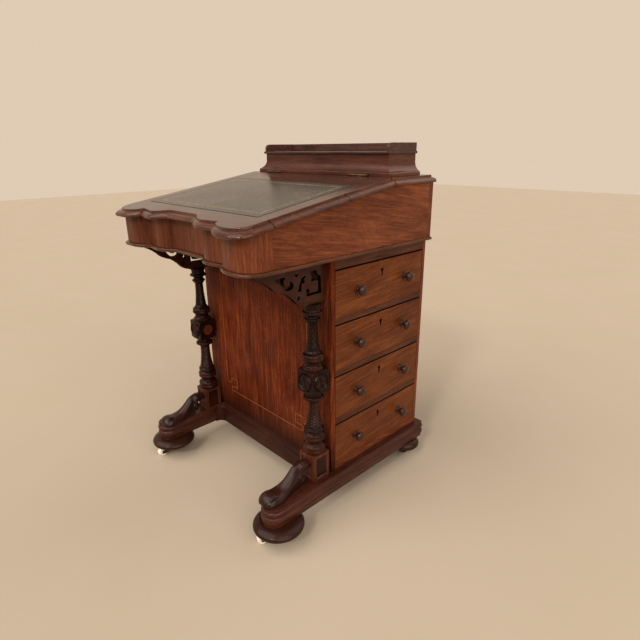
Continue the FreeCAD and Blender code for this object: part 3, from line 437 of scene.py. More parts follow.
def outline(steps, fine, closed=True):
    """Points of a drawn line of steps (x, y, bow)."""
    spots = [Vector(step[:2]) for step in steps]
    points = [] if closed else [spots[0]]
    for index in range(0 if closed else 1, len(steps)):
        points += arc(spots[index - 1], spots[index], steps[index][2], fine)
    return points


def ring(shape, points):
    """Closed loop of edges through points."""
    verts = [shape.verts.new(point) for point in points]
    return [shape.edges.new((verts[index - 1], verts[index])) for index in range(len(verts))]


def lofted(rings, closed=False):
    """Skin over rings of the same count, capped unless the skin runs back to its first ring."""
    shape = bmesh.new()
    loops = [ring(shape, points) for points in rings]
    pairs = list(zip(loops, loops[1:]))
    if closed:
        pairs.append((loops[-1], loops[0]))
    for lower, upper in pairs:
        bmesh.ops.bridge_loops(shape, edges=lower + upper)
    if not closed:
        bmesh.ops.contextual_create(shape, geom=loops[0])
        bmesh.ops.contextual_create(shape, geom=loops[-1])
    return shape


def moulded(plan, section):
    """Moulding run round a plan, from a section of (inset, height)."""
    return lofted([plan(inset, height) for inset, height in section])


def turned(steps, fine, around, scale=(1, 1)):
    """Spin half an outline of (radius, height, bow) about the upright axis."""
    shape = bmesh.new()
    points = outline([(r * scale[0], z * scale[1], bow) for r, z, bow in steps], fine, closed=False)
    verts = [shape.verts.new((max(0.0, point.x), 0, point.y)) for point in points]
    edges = [shape.edges.new(pair) for pair in zip(verts, verts[1:])]
    bmesh.ops.spin(shape, geom=verts + edges, cent=(0, 0, 0), axis=(0, 0, 1), dvec=(0, 0, 0),
                   angle=math.tau, steps=around, use_merge=True, use_duplicate=False)
    return merged(shape, 0.005)


def thickened(shape, height):
    """Make flat faces a solid and give back the faces on its top."""
    grown = bmesh.ops.extrude_face_region(shape, geom=shape.faces[:])["geom"]
    lifted = [item for item in grown if isinstance(item, bmesh.types.BMVert)]
    bmesh.ops.translate(shape, vec=(0, 0, height), verts=lifted)
    return [item for item in grown if isinstance(item, bmesh.types.BMFace)]


def sawn(edge, holes, thick, ease):
    """Flat piece sawn to an outline with holes, its edges rounded. It lies in the upright plane across X."""
    shape = bmesh.new()
    for points in [edge] + holes:
        ring(shape, [(point.x, point.y, 0) for point in points])
    bmesh.ops.triangle_fill(shape, use_beauty=True, use_dissolve=False, edges=shape.edges[:])
    thickened(shape, thick)
    bmesh.ops.recalc_face_normals(shape, faces=shape.faces)
    soften(shape, ease, 50)
    return placed(shape, Matrix(((0, 0, 1, 0), (1, 0, 0, 0), (0, 1, 0, 0), (0, 0, 0, 1))))


def carve(shape, depth):
    """Move points by a carver's rule and keep how far each one went, from deep to proud."""
    # The carved finishes paint the deep points dark as shade in the hollows
    layer = shape.verts.layers.float.new("rise")
    for vert in shape.verts:
        vert.co, vert[layer] = depth(vert.co.copy())
    return shape


def tinted(shape, finish, chosen):
    """Give the chosen faces another of the piece's finishes."""
    bmesh.ops.recalc_face_normals(shape, faces=shape.faces)
    for face in shape.faces:
        if chosen(face.normal, face.calc_center_median()):
            face.material_index = finish
    return shape


def smooth_step(low, high, value):
    share = min(1.0, max(0.0, (value - low) / (high - low)))
    return share * share * (3 - 2 * share)


# Bow of a quarter circle
QUARTER = (2 ** 0.5 - 1) / 2

# Castors, bun feet and runners

FEET = {"front": (-206.5, 56.9), "rear": (242.5, 39.9)}
FOOT_X, FOOT_LOW, FOOT_TALL = 234.5, 29, 23
CASTOR_TURNS = {"front_right": -22, "front_left": 0, "rear_right": -100, "rear_left": 100}
TRAIL, AXLE_HEIGHT = 38, 12.5
WHEEL = [
    (2.55, -6.2, 0), (7.6, -6.2, 0), (8.2, -5.2, 0), (9.2, -5.2, 0), (9.8, -6.5, 0), (10.6, -6.5, 0),
    (12.29, -3.4, -0.2), (12.29, 3.4, -0.03), (10.6, 6.5, -0.2), (9.8, 6.5, 0), (9.2, 5.2, 0), (8.2, 5.2, 0),
    (7.6, 6.2, 0), (2.55, 6.2, 0), (2.55, -6.2, 0)
]
for corner, castor_turn in CASTOR_TURNS.items():
    end, side = corner.split("_")
    castor_x = FOOT_X if side == "right" else -FOOT_X
    angle = math.radians(castor_turn)
    wheel = placed(turned(WHEEL, 6, 40), Matrix.Rotation(angle, 4, "Z") @ Matrix.Rotation(math.pi / 2, 4, "Y"))
    moved(wheel, castor_x + TRAIL * math.sin(angle), FEET[end][0] - TRAIL * math.cos(angle), AXLE_HEIGHT)
    add_piece(f"glazed_wheel_{corner}", wheel, f"wheel_{corner}", [glaze],
              [f"castor_wheel_{corner}"])
    # The castor fork is painted dark as the shade beside the wheel
    add_piece(f"brass_fork_{corner}", eased(f"castor_fork_{corner}", 0.7), f"swivel_{corner}", [shade_dark_brass],
              [f"castor_fork_{corner}"])

FOOT = [
    (0, 0, 0), (0.7, 0, 0), (0.93, 0.13, -0.1), (1, 0.42, -0.12), (0.93, 0.74, -0.13), (0.82, 0.92, -0.05),
    (0.72, 1, -0.02), (0, 1, 0)
]
for end, (foot_y, foot_radius) in FEET.items():
    foot = moved(turned(FOOT, 7, 64, (foot_radius, FOOT_TALL)), FOOT_X, foot_y, FOOT_LOW)
    add_piece(f"bun_feet_{end}", both_sides(foot), "desk", [bun_wood], [f"feet_{end}"])

RUNNER_INNER, RUNNER_OUTER, RUNNER_NOSE, RUNNER_REAR = 206, 263, -245.5, 282.5
RUNNER_MOULDING = [
    (3.6, 52), (3, 53), (3, 60), (2.2, 61.5), (0.6, 63), (0, 65.5), (0, 72), (0.8, 74.5), (2.4, 76), (3.2, 77.2),
    (3.2, 78.6), (1.6, 79.6), (0.3, 82), (0, 85), (0.6, 88), (1.8, 90), (3, 91), (3.2, 92.2), (3.2, 94), (2.6, 95),
    (2.4, 96.8), (3, 98)
]


def runner_plan(inset, height):
    """Sledge runner from above, with a round nose."""
    inner, outer, nose = RUNNER_INNER + inset, RUNNER_OUTER - inset, RUNNER_NOSE + inset
    radius = (outer - inner) / 2
    steps = [(inner, RUNNER_REAR, 0), (inner, nose + radius, 0), (inner + radius, nose, -QUARTER),
             (outer, nose + radius, -QUARTER), (outer, RUNNER_REAR, 0)]
    return [(point.x, point.y, height) for point in outline(steps, 12)]


add_pair("sledge_runner", moulded(runner_plan, RUNNER_MOULDING), [runner_wood], "runner")

# Case: plinth, panels and dividers

CASE_X, CASE_Z = (-245, 245), (98, 599)
FRONT_PANEL_Y, INSIDE_Y, BACK_PANEL_Y = (-54.5, -41.5), (-41.5, 260.5), (260.5, 271.5)
DRAWER_LOWS = (472, 352, 232, 112)
DIVIDER, DUMMY_INSIDE, TOP_RAIL = 14, -229, ((185, 245), INSIDE_Y, (578, 599))
PLINTH_COVE, PLINTH_Y, PLINTH_REAR = 22, -84.5, -54.4
PLINTH_MOULDING = [
    (0, 52), (0, 91), (0.6, 92), (2, 92.6), (2.2, 94), (2.6, 95), (4.2, 97.2), (5, 99.6), (5, 101.2), (5.8, 102),
    (6.6, 104.6), (7.2, 106), (7.8, 107)
]


def plinth_plan(inset, height):
    """Plinth from above: straight in the middle, hollow at both ends where it meets the runners."""
    radius = PLINTH_COVE + inset
    last = math.acos(PLINTH_COVE / radius)
    angles = [math.pi / 2 + (last - math.pi / 2) * step / 10 for step in range(11)]
    right = [(RUNNER_INNER - PLINTH_COVE + radius * math.cos(a), PLINTH_Y + radius * math.sin(a)) for a in angles]
    right.append((RUNNER_INNER, PLINTH_REAR))
    return [(-x, y, height) for x, y in reversed(right)] + [(x, y, height) for x, y in right]


add_piece("coved_plinth", moulded(plinth_plan, PLINTH_MOULDING), "desk", [plinth_wood], ["plinth_rail"])
add_piece("veneered_front_panel", plank(CASE_X, FRONT_PANEL_Y, CASE_Z), "desk", [panel_veneer],
          ["front_panel"])
add_piece("plain_back_panel", plank(CASE_X, BACK_PANEL_Y, CASE_Z), "desk", [walnut_z], ["back_panel"])
add_piece("bottom_board", plank(CASE_X, INSIDE_Y, (CASE_Z[0], DRAWER_LOWS[-1]), 0.5), "desk",
          [walnut_y], ["case_floor"])
dividers = [plank(*TOP_RAIL, 0.5)]
dividers += [plank((DUMMY_INSIDE, CASE_X[1]), INSIDE_Y, (low - DIVIDER, low), 0.5) for low in DRAWER_LOWS[:3]]
add_piece("drawer_dividers", gathered(dividers), "desk", [rail_wood], ["drawer_rails"])

# Inlaid lines of the front panel, with a small square in each corner


def inlaid(x, z):
    face = FRONT_PANEL_Y[0]
    return plank(sorted(x), (face - 0.3, face + 0.2), sorted(z), 0.05)


LINE_X, LINE_LOW, LINE_HIGH, LINE = 150, 164, 544, 1.5
KEY_WIDE, KEY_HIGH, KEY_GAP, KEY_STEP, KEY_OUT = 28, 26, 14, 9, 20
LOW_TURN, HIGH_TURN = LINE_LOW + KEY_GAP + KEY_STEP, LINE_HIGH - KEY_GAP - KEY_STEP
strings = []
for sign in (-1, 1):
    out, side = sign * (LINE_X + KEY_OUT), sign * LINE_X
    strings.append(inlaid((out, out - sign * LINE), (LOW_TURN, HIGH_TURN)))
    for line_z, turn_z, key in ((LINE_LOW, LOW_TURN, LINE_LOW + KEY_GAP),
                                (LINE_HIGH - LINE, HIGH_TURN - LINE, LINE_HIGH - KEY_GAP - KEY_HIGH)):
        across, up = sorted((side, side - sign * KEY_WIDE)), (key, key + KEY_HIGH)
        strings += [inlaid((out, side), (turn_z, turn_z + LINE)),
                    inlaid((side, side - sign * LINE), (line_z, key + KEY_HIGH / 2)),
                    inlaid(across, (up[0], up[0] + LINE)), inlaid(across, (up[1] - LINE, up[1])),
                    inlaid((across[0], across[0] + LINE), up), inlaid((across[1] - LINE, across[1]), up)]
strings += [inlaid((-LINE_X, LINE_X), (line_z, line_z + LINE)) for line_z in (LINE_LOW, LINE_HIGH - LINE)]
add_piece("panel_stringing", gathered(strings), "desk", [boxwood])

# Drawers with their fronts, trays, locks and knobs, and the dummy side

KNOB = [
    (0, 0, 0), (0.86, 0, 0), (0.86, 0.07, -0.1), (0.78, 0.115, -0.15), (0.52, 0.13, 0), (0.46, 0.24, 0.15),
    (0.5, 0.4, 0.06), (0.72, 0.49, 0.1), (1, 0.68, -0.16), (0.74, 0.92, -0.17), (0.4, 0.985, -0.05), (0.36, 0.965, 0),
    (0.26, 0.965, 0), (0.22, 0.99, -0.1), (0, 1, -0.05)
]
KNOB_SIZE, KNOB_YS, KNOB_UP = (11.5, 23), (27, 192), 51.8
DRAWER_Y, FRONT_HIGH, FRONT_THICK, DUMMY_HIGH, DUMMY_THICK = (-40.3, 259.3), 102.4, 18, 103.6, 8
TRAY_X, TRAY_HIGH, TRAY_SIDE, TRAY_FLOOR = (-217, 227), 95.6, 9, (5, 11)
KEYHOLE_Y, KEYHOLE_UP = 109.5, 79.6


def knobs(towards, lows):
    """Turned knobs standing out to one side along X, two to a drawer."""
    return gathered([moved(placed(turned(KNOB, 5, 40, KNOB_SIZE), Matrix.Rotation(math.pi / 2 * towards, 4, "Y")),
                           CASE_X[1] * towards, y, low + KNOB_UP) for y in KNOB_YS for low in lows])


def drawer_front(low):
    """Veneered front with a keyhole through it, painted dark as shade on its top edge, in the gap under the rail, and
    inside the keyhole.
    """
    eye = low + KEYHOLE_UP
    edge = [Vector((y, z)) for y, z in ((DRAWER_Y[0], low), (DRAWER_Y[1], low), (DRAWER_Y[1], low + FRONT_HIGH),
                                        (DRAWER_Y[0], low + FRONT_HIGH))]
    keyhole = outline([(KEYHOLE_Y - 2.1, eye - 3.4, -0.45), (KEYHOLE_Y - 2.1, eye - 11.4, 0),
                       (KEYHOLE_Y + 2.1, eye - 11.4, -0.25), (KEYHOLE_Y + 2.1, eye - 3.4, 0),
                       (KEYHOLE_Y, eye + 4.2, -0.45)], 6)
    front = moved(sawn(edge, [keyhole], FRONT_THICK, 1.0), CASE_X[1] - FRONT_THICK, 0, 0)

    def in_gap_shade(normal, spot):
        in_keyhole = abs(spot.y - KEYHOLE_Y) < 4.5 and eye - 14 < spot.z < eye + 8
        return normal.z > 0.7 or abs(normal.x) < 0.3 and in_keyhole

    return tinted(front, 1, in_gap_shade)


def tray(low):
    """Drawer box: two sides, a back and a thin bottom."""
    (left, right), up = TRAY_X, (low, low + TRAY_HIGH)
    inner = (DRAWER_Y[0] + TRAY_SIDE, DRAWER_Y[1] - TRAY_SIDE)
    return gathered([plank(TRAY_X, (DRAWER_Y[0], inner[0]), up), plank(TRAY_X, (inner[1], DRAWER_Y[1]), up),
                     plank((left, left + TRAY_SIDE), inner, up),
                     plank((left + TRAY_SIDE, right), inner, [low + level for level in TRAY_FLOOR], 0.3)])


def lock_case(eye):
    """Brass lock behind the front, painted dark as shade on the face that the keyhole shows."""
    case = [plank((220, 227), (87, 132), (eye - 17, eye + 17), 0.6),
            plank((219, 220.2), (91, 128), (eye - 13, eye + 13), 0.4)]
    return tinted(gathered(case), 1, lambda normal, spot: normal.x > 0.7)


for count, low in enumerate(DRAWER_LOWS, start=1):
    for piece, shape, slot, finishes, node in (
            ("veneered_front", drawer_front(low), "walnut", [drawer_veneer, gap_shade_edge], "drawer_front"),
            ("tray", tray(low), "interior_wood", [inside_x], "drawer_box"),
            ("lock_case", lock_case(low + KEYHOLE_UP), "brass", [brass, shade_dark_brass], "drawer_lock"),
            ("turned_knobs", knobs(1, [low]), "dark_walnut", [knob_wood], "drawer_knobs")):
        add_piece(f"{piece}_{count}", shape, f"drawer_{count}", finishes, [f"{node}_{count}"])

add_piece("dummy_frame", eased("dummy_side", 0.5), "desk", [rail_wood], ["dummy_side"])
dummies = [plank((CASE_X[0], CASE_X[0] + DUMMY_THICK), DRAWER_Y, (low, low + DUMMY_HIGH), 1.0) for low in DRAWER_LOWS]
add_piece("dummy_drawer_fronts", gathered(dummies), "desk", [drawer_veneer], ["dummy_fronts"])
add_piece("dummy_turned_knobs", knobs(-1, DRAWER_LOWS), "desk", [knob_wood], ["dummy_knobs"])

# Columns: a framed base block, turned rings, a rope-twisted shaft, a carved square and a scale-carved shaft

COLUMN_X, COLUMN_Y, STOCK = 224, -87.5, 24
TURNED_BASE, TURNED_HEIGHT = 158, 355
LOWER_TURNING = [
    (0, 0.012, 0), (0.88, 0.014, 0), (0.92, 0.018, 0), (1, 0.046, -0.24), (0.88, 0.077, -0.24), (0.83, 0.08, 0),
    (0.79, 0.093, 0.12), (0.83, 0.105, 0.12), (0.88, 0.108, 0), (0.96, 0.133, -0.24), (0.86, 0.158, -0.24),
    (0.8, 0.161, 0), (0.79, 0.169, 0.1), (0.85, 0.172, 0), (0.9, 0.181, -0.3), (0.83, 0.19, -0.3), (0.77, 0.193, 0)
]
UPPER_RINGS = [
    (0.5, 0.374, 0), (0.6, 0.377, 0), (0.66, 0.386, 0.1), (0.84, 0.392, 0), (0.93, 0.402, -0.3), (0.84, 0.413, -0.3),
    (0.76, 0.416, 0), (0.74, 0.445, 0), (0, 0.446, 0)
]
COLLAR = [
    (0, 0.59, 0), (0.9, 0.592, 0), (0.945, 0.598, -0.2), (0.945, 0.607, 0), (0.9, 0.612, -0.2), (0.84, 0.615, 0),
    (0.77, 0.634, 0.14), (0.8, 0.645, 0.1), (0.85, 0.648, 0), (0.94, 0.671, -0.26), (0.8, 0.694, -0.22),
    (0.7, 0.698, 0), (0.7, 0.704, -0.2), (0.64, 0.709, 0), (0.59, 0.722, 0.1)
]
CAP = [
    (0.43, 0.884, 0), (0.53, 0.887, 0), (0.58, 0.896, 0.1), (0.64, 0.9, 0), (0.7, 0.907, -0.3), (0.64, 0.914, -0.3),
    (0.56, 0.917, 0), (0.54, 0.926, 0.1), (0.62, 0.936, 0.14), (0.84, 0.943, 0), (0.88, 0.95, -0.3),
    (0.84, 0.957, -0.3), (0.76, 0.96, 0), (0.7, 0.972, 0.1), (0.74, 0.985, 0.1), (0.8, 1, 0), (0, 1, 0)
]
SQUARE = [(0.96, 0.444), (1.32, 0.451), (1.4, 0.455), (1.42, 0.458), (1.42, 0.583), (1.38, 0.589), (1.12, 0.594)]
BOSS_MIDDLE = 0.521 * TURNED_HEIGHT


def shaft_line(start, end, low, high, count, bend):
    """Fine steps up a shaft that flares at its foot, so that it can be carved."""
    return [(end + (start - end) * (1 - step / count) ** bend, low + (high - low) * step / count, 0)
            for step in range(1, count)]


def carved_shaft(foot, head, pattern):
    """Carver's rule for a pattern between two heights, with proud beads elsewhere."""
    def rule(place):
        share = place.z / TURNED_HEIGHT
        fade = smooth_step(*foot, share) * (1 - smooth_step(*head, share))
        rise = (math.hypot(place.x, place.y) / STOCK - 0.78) * 1.1 - 0.1
        swell, level = pattern(math.atan2(place.y, place.x), place.z)
        swell = 1 + fade * swell
        return Vector((place.x * swell, place.y * swell, place.z)), rise * (1 - fade) + fade * level

    return rule


def rope_twist(turn, height):
    wave = abs(math.sin(4 * turn - height * 0.50))
    return 0.15 * (wave - 0.5), wave - 0.65


def leaf_scales(turn, height):
    row = height / 6.5
    petal = abs(math.cos(4 * turn + math.pi / 2 * (math.floor(row) % 2))) ** 0.7
    lift = petal * (1 - row % 1.0) ** 0.8
    return 0.10 * (lift - 0.35), lift * 0.9 - 0.55


def corner_reach(share):
    """How far the square's corners stand out at a height."""
    for (low_reach, low), (high_reach, high) in zip(SQUARE, SQUARE[1:]):
        if share <= high:
            return low_reach + (high_reach - low_reach) * max(0.0, share - low) / (high - low)
    return SQUARE[-1][0]


def carved_square(plain_side):
    """Square middle with turned corners and an oval leaf boss on each side. One side may have lost its boss."""
    half = (-STOCK, STOCK)
    shape = block(half, half, (SQUARE[0][1] * TURNED_HEIGHT, SQUARE[-1][1] * TURNED_HEIGHT))
    bmesh.ops.subdivide_edges(shape, edges=shape.edges[:], cuts=40, use_grid_fill=True)

    def leaf(place):
        reach = corner_reach(place.z / TURNED_HEIGHT) * STOCK
        radius = math.hypot(place.x, place.y)
        flat_x, flat_y = abs(place.x) > STOCK - 0.01, abs(place.y) > STOCK - 0.01
        if radius > reach:
            return Vector((place.x * reach / radius, place.y * reach / radius, place.z)), 0.1
        outward = 0 if flat_x else 1
        lost = plain_side and flat_x and place.x > 0
        wide, tall = (15.0, 16.0) if lost else (17.0, 18.5)
        u, v = place[1 - outward] / wide, (place.z - BOSS_MIDDLE) / tall
        span = math.hypot(u, v)
        if flat_x == flat_y or span >= 1.12:
            return place, -0.15
        rim = math.exp(-((span - 1.0) / 0.09) ** 2)
        if lost:
            lift, rise = 0.9 * rim, (1.2 if span < 0.93 else -0.8)
        else:
            spine = abs(u + 0.35 * v)
            vein = math.exp(-(spine / 0.10) ** 2)
            ribs = 0.5 + 0.5 * math.cos(8 * v + 6 * spine)
            crown = max(0.0, 1 - span * span) ** 0.5
            lift = 3.0 * rim + 2.2 * (1 - crown) + (0.9 * (1 - ribs) + 1.6 * vein) * crown
            rise = 0.45 * ribs * crown - 1.1 * rim - 0.7 * vein - 0.1
        place[outward] += math.copysign(lift, place[outward])
        return place, rise

    return merged(carve(shape, leaf), 0.01)


def base_block():
    """Square foot of the column, each side a raised frame round a sunk panel."""
    half = (-STOCK, STOCK)
    shape = plank(half, half, (-60, 6), 1.2)
    sides = [face for face in shape.faces if face.calc_area() > 1500 and abs(face.normal.z) < 0.5]
    bmesh.ops.inset_individual(shape, faces=sides, thickness=6.5, depth=0.0, use_even_offset=True)
    bmesh.ops.inset_individual(shape, faces=sides, thickness=1.4, depth=-2.0, use_even_offset=True)
    for face in sides:
        face.material_index = 1 if abs(face.normal.x) > 0.5 else 0
    return shape


def column(x, plain_side):
    low_shaft = shaft_line(0.77, 0.50, 0.193, 0.374, 80, 2.6)
    lower = turned(LOWER_TURNING + low_shaft + UPPER_RINGS, 5, 64, (STOCK, TURNED_HEIGHT))
    high_shaft = shaft_line(0.59, 0.43, 0.722, 0.884, 70, 2.2)
    upper = turned(COLLAR + high_shaft + CAP, 5, 64, (STOCK, TURNED_HEIGHT))
    carve(lower, carved_shaft((0.195, 0.215), (0.364, 0.374), rope_twist))
    carve(upper, carved_shaft((0.724, 0.740), (0.872, 0.884), leaf_scales))
    return moved(gathered([lower, upper, carved_square(plain_side)]), x, COLUMN_Y, TURNED_BASE)


for side, x, plain_side in (("right", COLUMN_X, False), ("left", -COLUMN_X, True)):
    add_piece(f"carved_column_{side}", column(x, plain_side), "desk", [carved], [f"column_{side}"], 50)
add_piece("column_bases", both_sides(moved(base_block(), COLUMN_X, COLUMN_Y, TURNED_BASE)), "desk",
          [reddish_block, carved])

# Pierced brackets between the columns, the panel and the desk box

FRET_LOW, FRET_DEEP, FRET_TALL, FRET_THICK = TURNED_BASE + TURNED_HEIGHT, 182, 86, 13
FRET_EDGE = [
    (0, 0), (0, 1000), (1000, 1000), (1000, 953), (963, 890), (923, 835), (880, 790), (828, 720), (779, 638),
    (735, 545), (693, 491), (648, 449), (600, 420), (541, 338), (487, 241), (440, 130), (400, 70), (302, 0)
]
FRET_HOLES = [
    [(733, 794), (692, 802), (648, 799), (603, 801), (581, 787), (601, 746), (608, 695), (603, 639), (584, 598),
     (559, 576), (536, 588), (522, 626), (524, 682), (501, 662), (482, 621), (473, 562), (480, 515), (504, 486),
     (538, 479), (577, 490), (606, 525), (630, 579), (648, 636), (675, 696), (706, 735)],
    [(462, 806), (425, 812), (398, 797), (412, 775), (430, 733), (443, 771)],
    [(341, 714), (314, 726), (289, 711), (307, 684), (321, 656), (318, 610), (308, 577), (326, 562), (350, 578),
     (361, 537), (365, 482), (359, 412), (367, 387), (391, 386), (418, 409), (404, 448), (396, 507), (385, 569),
     (373, 632), (362, 684)],
    [(232, 796), (190, 804), (146, 803), (136, 776), (129, 723), (107, 674), (78, 640), (74, 569), (66, 225),
     (122, 232), (224, 232), (285, 228), (291, 279), (293, 395), (272, 406), (254, 395), (251, 353), (248, 292),
     (173, 288), (118, 293), (114, 411), (116, 527), (121, 560), (156, 568), (217, 563), (216, 603), (212, 669),
     (219, 740)],
    [(417, 273), (403, 289), (389, 260), (393, 216), (408, 194), (418, 165), (432, 188), (421, 223)],
]


def fret_line(shares):
    """Places of thousandths of the bracket's depth and height."""
    return [Vector((FRONT_PANEL_Y[0] - FRET_DEEP * (along / 1000), FRET_LOW + FRET_TALL * (up / 1000)))
            for along, up in shares]


bracket = sawn(fret_line(FRET_EDGE), [fret_line(hole) for hole in FRET_HOLES], FRET_THICK, 1.5)
# The walls of the piercing and the bracket's edges are painted near black as shade
tinted(moved(bracket, COLUMN_X - FRET_THICK / 2, 0, 0), 1, lambda normal, spot: abs(normal.x) < 0.3)
add_pair("pierced_bracket", bracket, [pierced, shade_and_joint_black], "fret_bracket")

# Knee scrolls in front of the columns

KNEE_REAR, KNEE_LONG, KNEE_FOOT = COLUMN_Y - STOCK, 129, 98
KNEE_TOP = [
    (0, 52), (0.06, 55), (0.14, 57), (0.22, 56), (0.31, 52), (0.37, 45), (0.43, 37), (0.5, 28.5), (0.58, 21.5),
    (0.66, 17.5), (0.73, 17), (0.79, 19), (0.85, 19.5), (0.91, 17), (0.955, 12.5), (0.985, 7.5), (1, 2.5)
]
KNEE_UNDER = [(0, 34), (0.08, 33), (0.15, 29), (0.2, 19), (0.25, 0), (1, 0)]
KNEE_HALF = [
    (0, 13), (0.15, 13), (0.3, 13.5), (0.42, 15.5), (0.52, 18.5), (0.62, 22), (0.72, 24.5), (0.85, 25), (0.93, 22.5),
    (0.97, 18), (1, 11)
]
VOLUTE = [
    (0, -17, 0), (2.6, -17, 0), (3.4, -15.6, -0.2), (4.4, -15.2, 0.2), (6.2, -16.4, -0.25), (7.6, -15, -0.2),
    (8.4, -14.8, 0.2), (10.4, -15.8, -0.25), (12, -13.6, -0.2), (12.4, 0, 0.02), (12, 13.6, 0.02), (10.4, 15.8, -0.2),
    (8.4, 14.8, -0.25), (7.6, 15, 0.2), (6.2, 16.4, -0.2), (4.4, 15.2, -0.25), (3.4, 15.6, 0.2), (2.6, 17, -0.2),
    (0, 17, 0)
]
VOLUTE_Y, VOLUTE_UP = -138, 22


def between(table, share):
    """Value of a smooth drawn curve at a share of its length."""
    last = len(table) - 1
    index = min(last - 1, max(0, sum(1 for place, value in table if place <= share) - 1))
    (low, first), (high, second) = table[index], table[index + 1]
    before, after = table[max(0, index - 1)], table[min(last, index + 2)]
    wide = high - low
    leave = (second - before[1]) / (high - before[0]) * wide
    arrive = (after[1] - first) / (after[0] - low) * wide
    t = (share - low) / wide
    return ((2 * t ** 3 - 3 * t ** 2 + 1) * first + (t ** 3 - 2 * t ** 2 + t) * leave
            + (3 * t ** 2 - 2 * t ** 3) * second + (t ** 3 - t ** 2) * arrive)


def knee():
    """Carved scroll: a band that leaves an eye beside the column, then a strap that widens down to a rolled toe."""
    shape = bmesh.new()
    bmesh.ops.create_grid(shape, x_segments=96, y_segments=120, size=0.5)

    def wrap(place):
        turn = (place.x + 0.5) * math.tau
        share = place.y + 0.5
        top, under = between(KNEE_TOP, share), max(0.0, between(KNEE_UNDER, share))
        edge = under + (top - under) * 0.45 * (1 - smooth_step(0.18, 0.28, share))
        across = math.cos(turn)
        if turn <= math.pi:
            level = math.sqrt(max(0.0, 1 - abs(across) ** 2.8))
            crease = math.exp(-((abs(across) - 0.62) / 0.09) ** 2)
            strap = smooth_step(0.02, 0.12, share) * (1 - smooth_step(0.60, 0.70, share))
            curl = smooth_step(0.72, 0.80, share)
            height = edge + (top - edge) * level * (1 - 0.16 * crease * curl) - 1.1 * crease * strap
            rise = 0.25 * level - 0.1 - 0.7 * crease * curl - 0.25 * crease * strap
        else:
            height = edge - (edge - under) * math.sqrt(max(0.0, 1 - across * across))
            rise = -0.5
        return Vector((between(KNEE_HALF, share) * across, KNEE_REAR - KNEE_LONG * share, KNEE_FOOT + height)), rise

    merged(carve(shape, wrap), 0.02)
    bmesh.ops.holes_fill(shape, edges=shape.edges[:], sides=0)
    return shape


def volute():
    """Rolled end of the scroll at the top of the knee."""
    def proud(place):
        radius = math.hypot(place.x, place.y)
        return place, 0.5 * math.cos(radius * 1.5) + (0.2 if radius > 10 else -0.2)

    shape = scaled(carve(turned(VOLUTE, 5, 40), proud), 0.95, 0.95, 0.84)
    placed(shape, Matrix.Rotation(math.pi / 2, 4, "Y"))
    return moved(shape, 0, VOLUTE_Y, KNEE_FOOT + VOLUTE_UP)


add_pair("carved_knee", moved(gathered([knee(), volute()]), COLUMN_X, 0, 0), [scroll_wood],
         "knee_scroll", 60)

# Desk box with its serpentine front

BOX_FRONT, BEAD_HALF, BEAD_REAR = -229.5, 258, 276.5
BEAD = [(4, 599), (1.2, 600), (0, 602), (0, 604), (1.2, 606), (4, 607)]


def serpentine(front, half, rear, height):
    """Plan of the desk: hollow middle, ridges, notches and rounded corner lobes."""
    right = [(42, front, 0), (66, front - 8, 0.085), (105, front - 22, -0.085), (150, front - 15, 0),
             (158, front - 26, 0), (200, front - 38, -0.07), (half - 36, front - 38, 0),
             (half, front - 2, -QUARTER)]
    bows = [step[2] for step in right[1:]] + [0]
    left = [(-x, y, bow) for (x, y, _), bow in zip(right, bows)]
    return [(point.x, point.y, height)
            for point in outline(left[::-1] + right + [(half, rear, 0), (-half, rear, 0)], 10)]


def bead_plan(inset, height):
    return serpentine(BOX_FRONT + inset, BEAD_HALF - inset, BEAD_REAR, height)


add_piece("beaded_floor", moulded(bead_plan, BEAD), "desk", [edge_y], ["box_floor"])
add_piece("serpentine_apron", eased("box_front", 0.8, 50), "desk", [apron_veneer], ["box_front"])
for part, node, finish in (("side_right", "box_side_right", walnut_y), ("side_left", "box_side_left", walnut_y),
                           ("box_back", "box_back", walnut_x)):
    add_piece(f"veneered_{part}", eased(node, 0.5), "desk", [finish], [node])

# Slope lid and flat top, with the same moulded edge

HINGE_Y, TOP_FACE, SLOPE = 128.5, 749.61, math.radians(9.2)
ON_SLOPE = Matrix.Translation((0, HINGE_Y, TOP_FACE)) @ Matrix.Rotation(SLOPE, 4, "X")
OVERHANG, LID_HALF, LID_THICK, LID_GAP = 16.5, 259, 16, 1.6
LID_FRONT = (BOX_FRONT - HINGE_Y - OVERHANG) / math.cos(SLOPE)
TOP_THICK, TOP_REAR, TOP_REAR_LOW = 16.61, 276.5, 279.5
EDGE_MOULDING = [
    (3.4, -16), (0.9, -15.2), (0, -13.6), (0.3, -11.6), (1.6, -9.4), (3.8, -7.4), (6.6, -6), (9.6, -5.2), (12, -4.9),
    (12.8, -4.4), (13, -3.4), (13, -1.5), (13.5, -0.5), (14.8, 0)
]
JOINT_YS, JOINT_WIDE = (-145.8, -339.2), 1.6
LEATHER_HALF, LEATHER_FRONT, LEATHER_BACK = 210, LID_FRONT + 44, -78


def lid_plan(inset, depth):
    rear = (depth * math.sin(SLOPE) - LID_GAP) / math.cos(SLOPE)
    return serpentine(LID_FRONT + inset, LID_HALF - inset, rear, depth)


def top_plan(inset, depth):
    half, front, rear = LID_HALF - inset, HINGE_Y + LID_GAP, TOP_REAR_LOW if depth < -6 else TOP_REAR
    return level_ring(half, front, rear, TOP_FACE + depth * TOP_THICK / LID_THICK)


def level_ring(half, front, rear, height):
    return [(-half, front, height), (half, front, height), (half, rear, height), (-half, rear, height)]


def edged(shape):
    """Moulded wood on the edges: the front with its grain across, the sides with theirs front to back."""
    tinted(shape, 1, lambda normal, spot: normal.z < 0.98 and abs(normal.x) <= 0.55)
    return tinted(shape, 2, lambda normal, spot: normal.z < 0.98 and abs(normal.x) > 0.55)


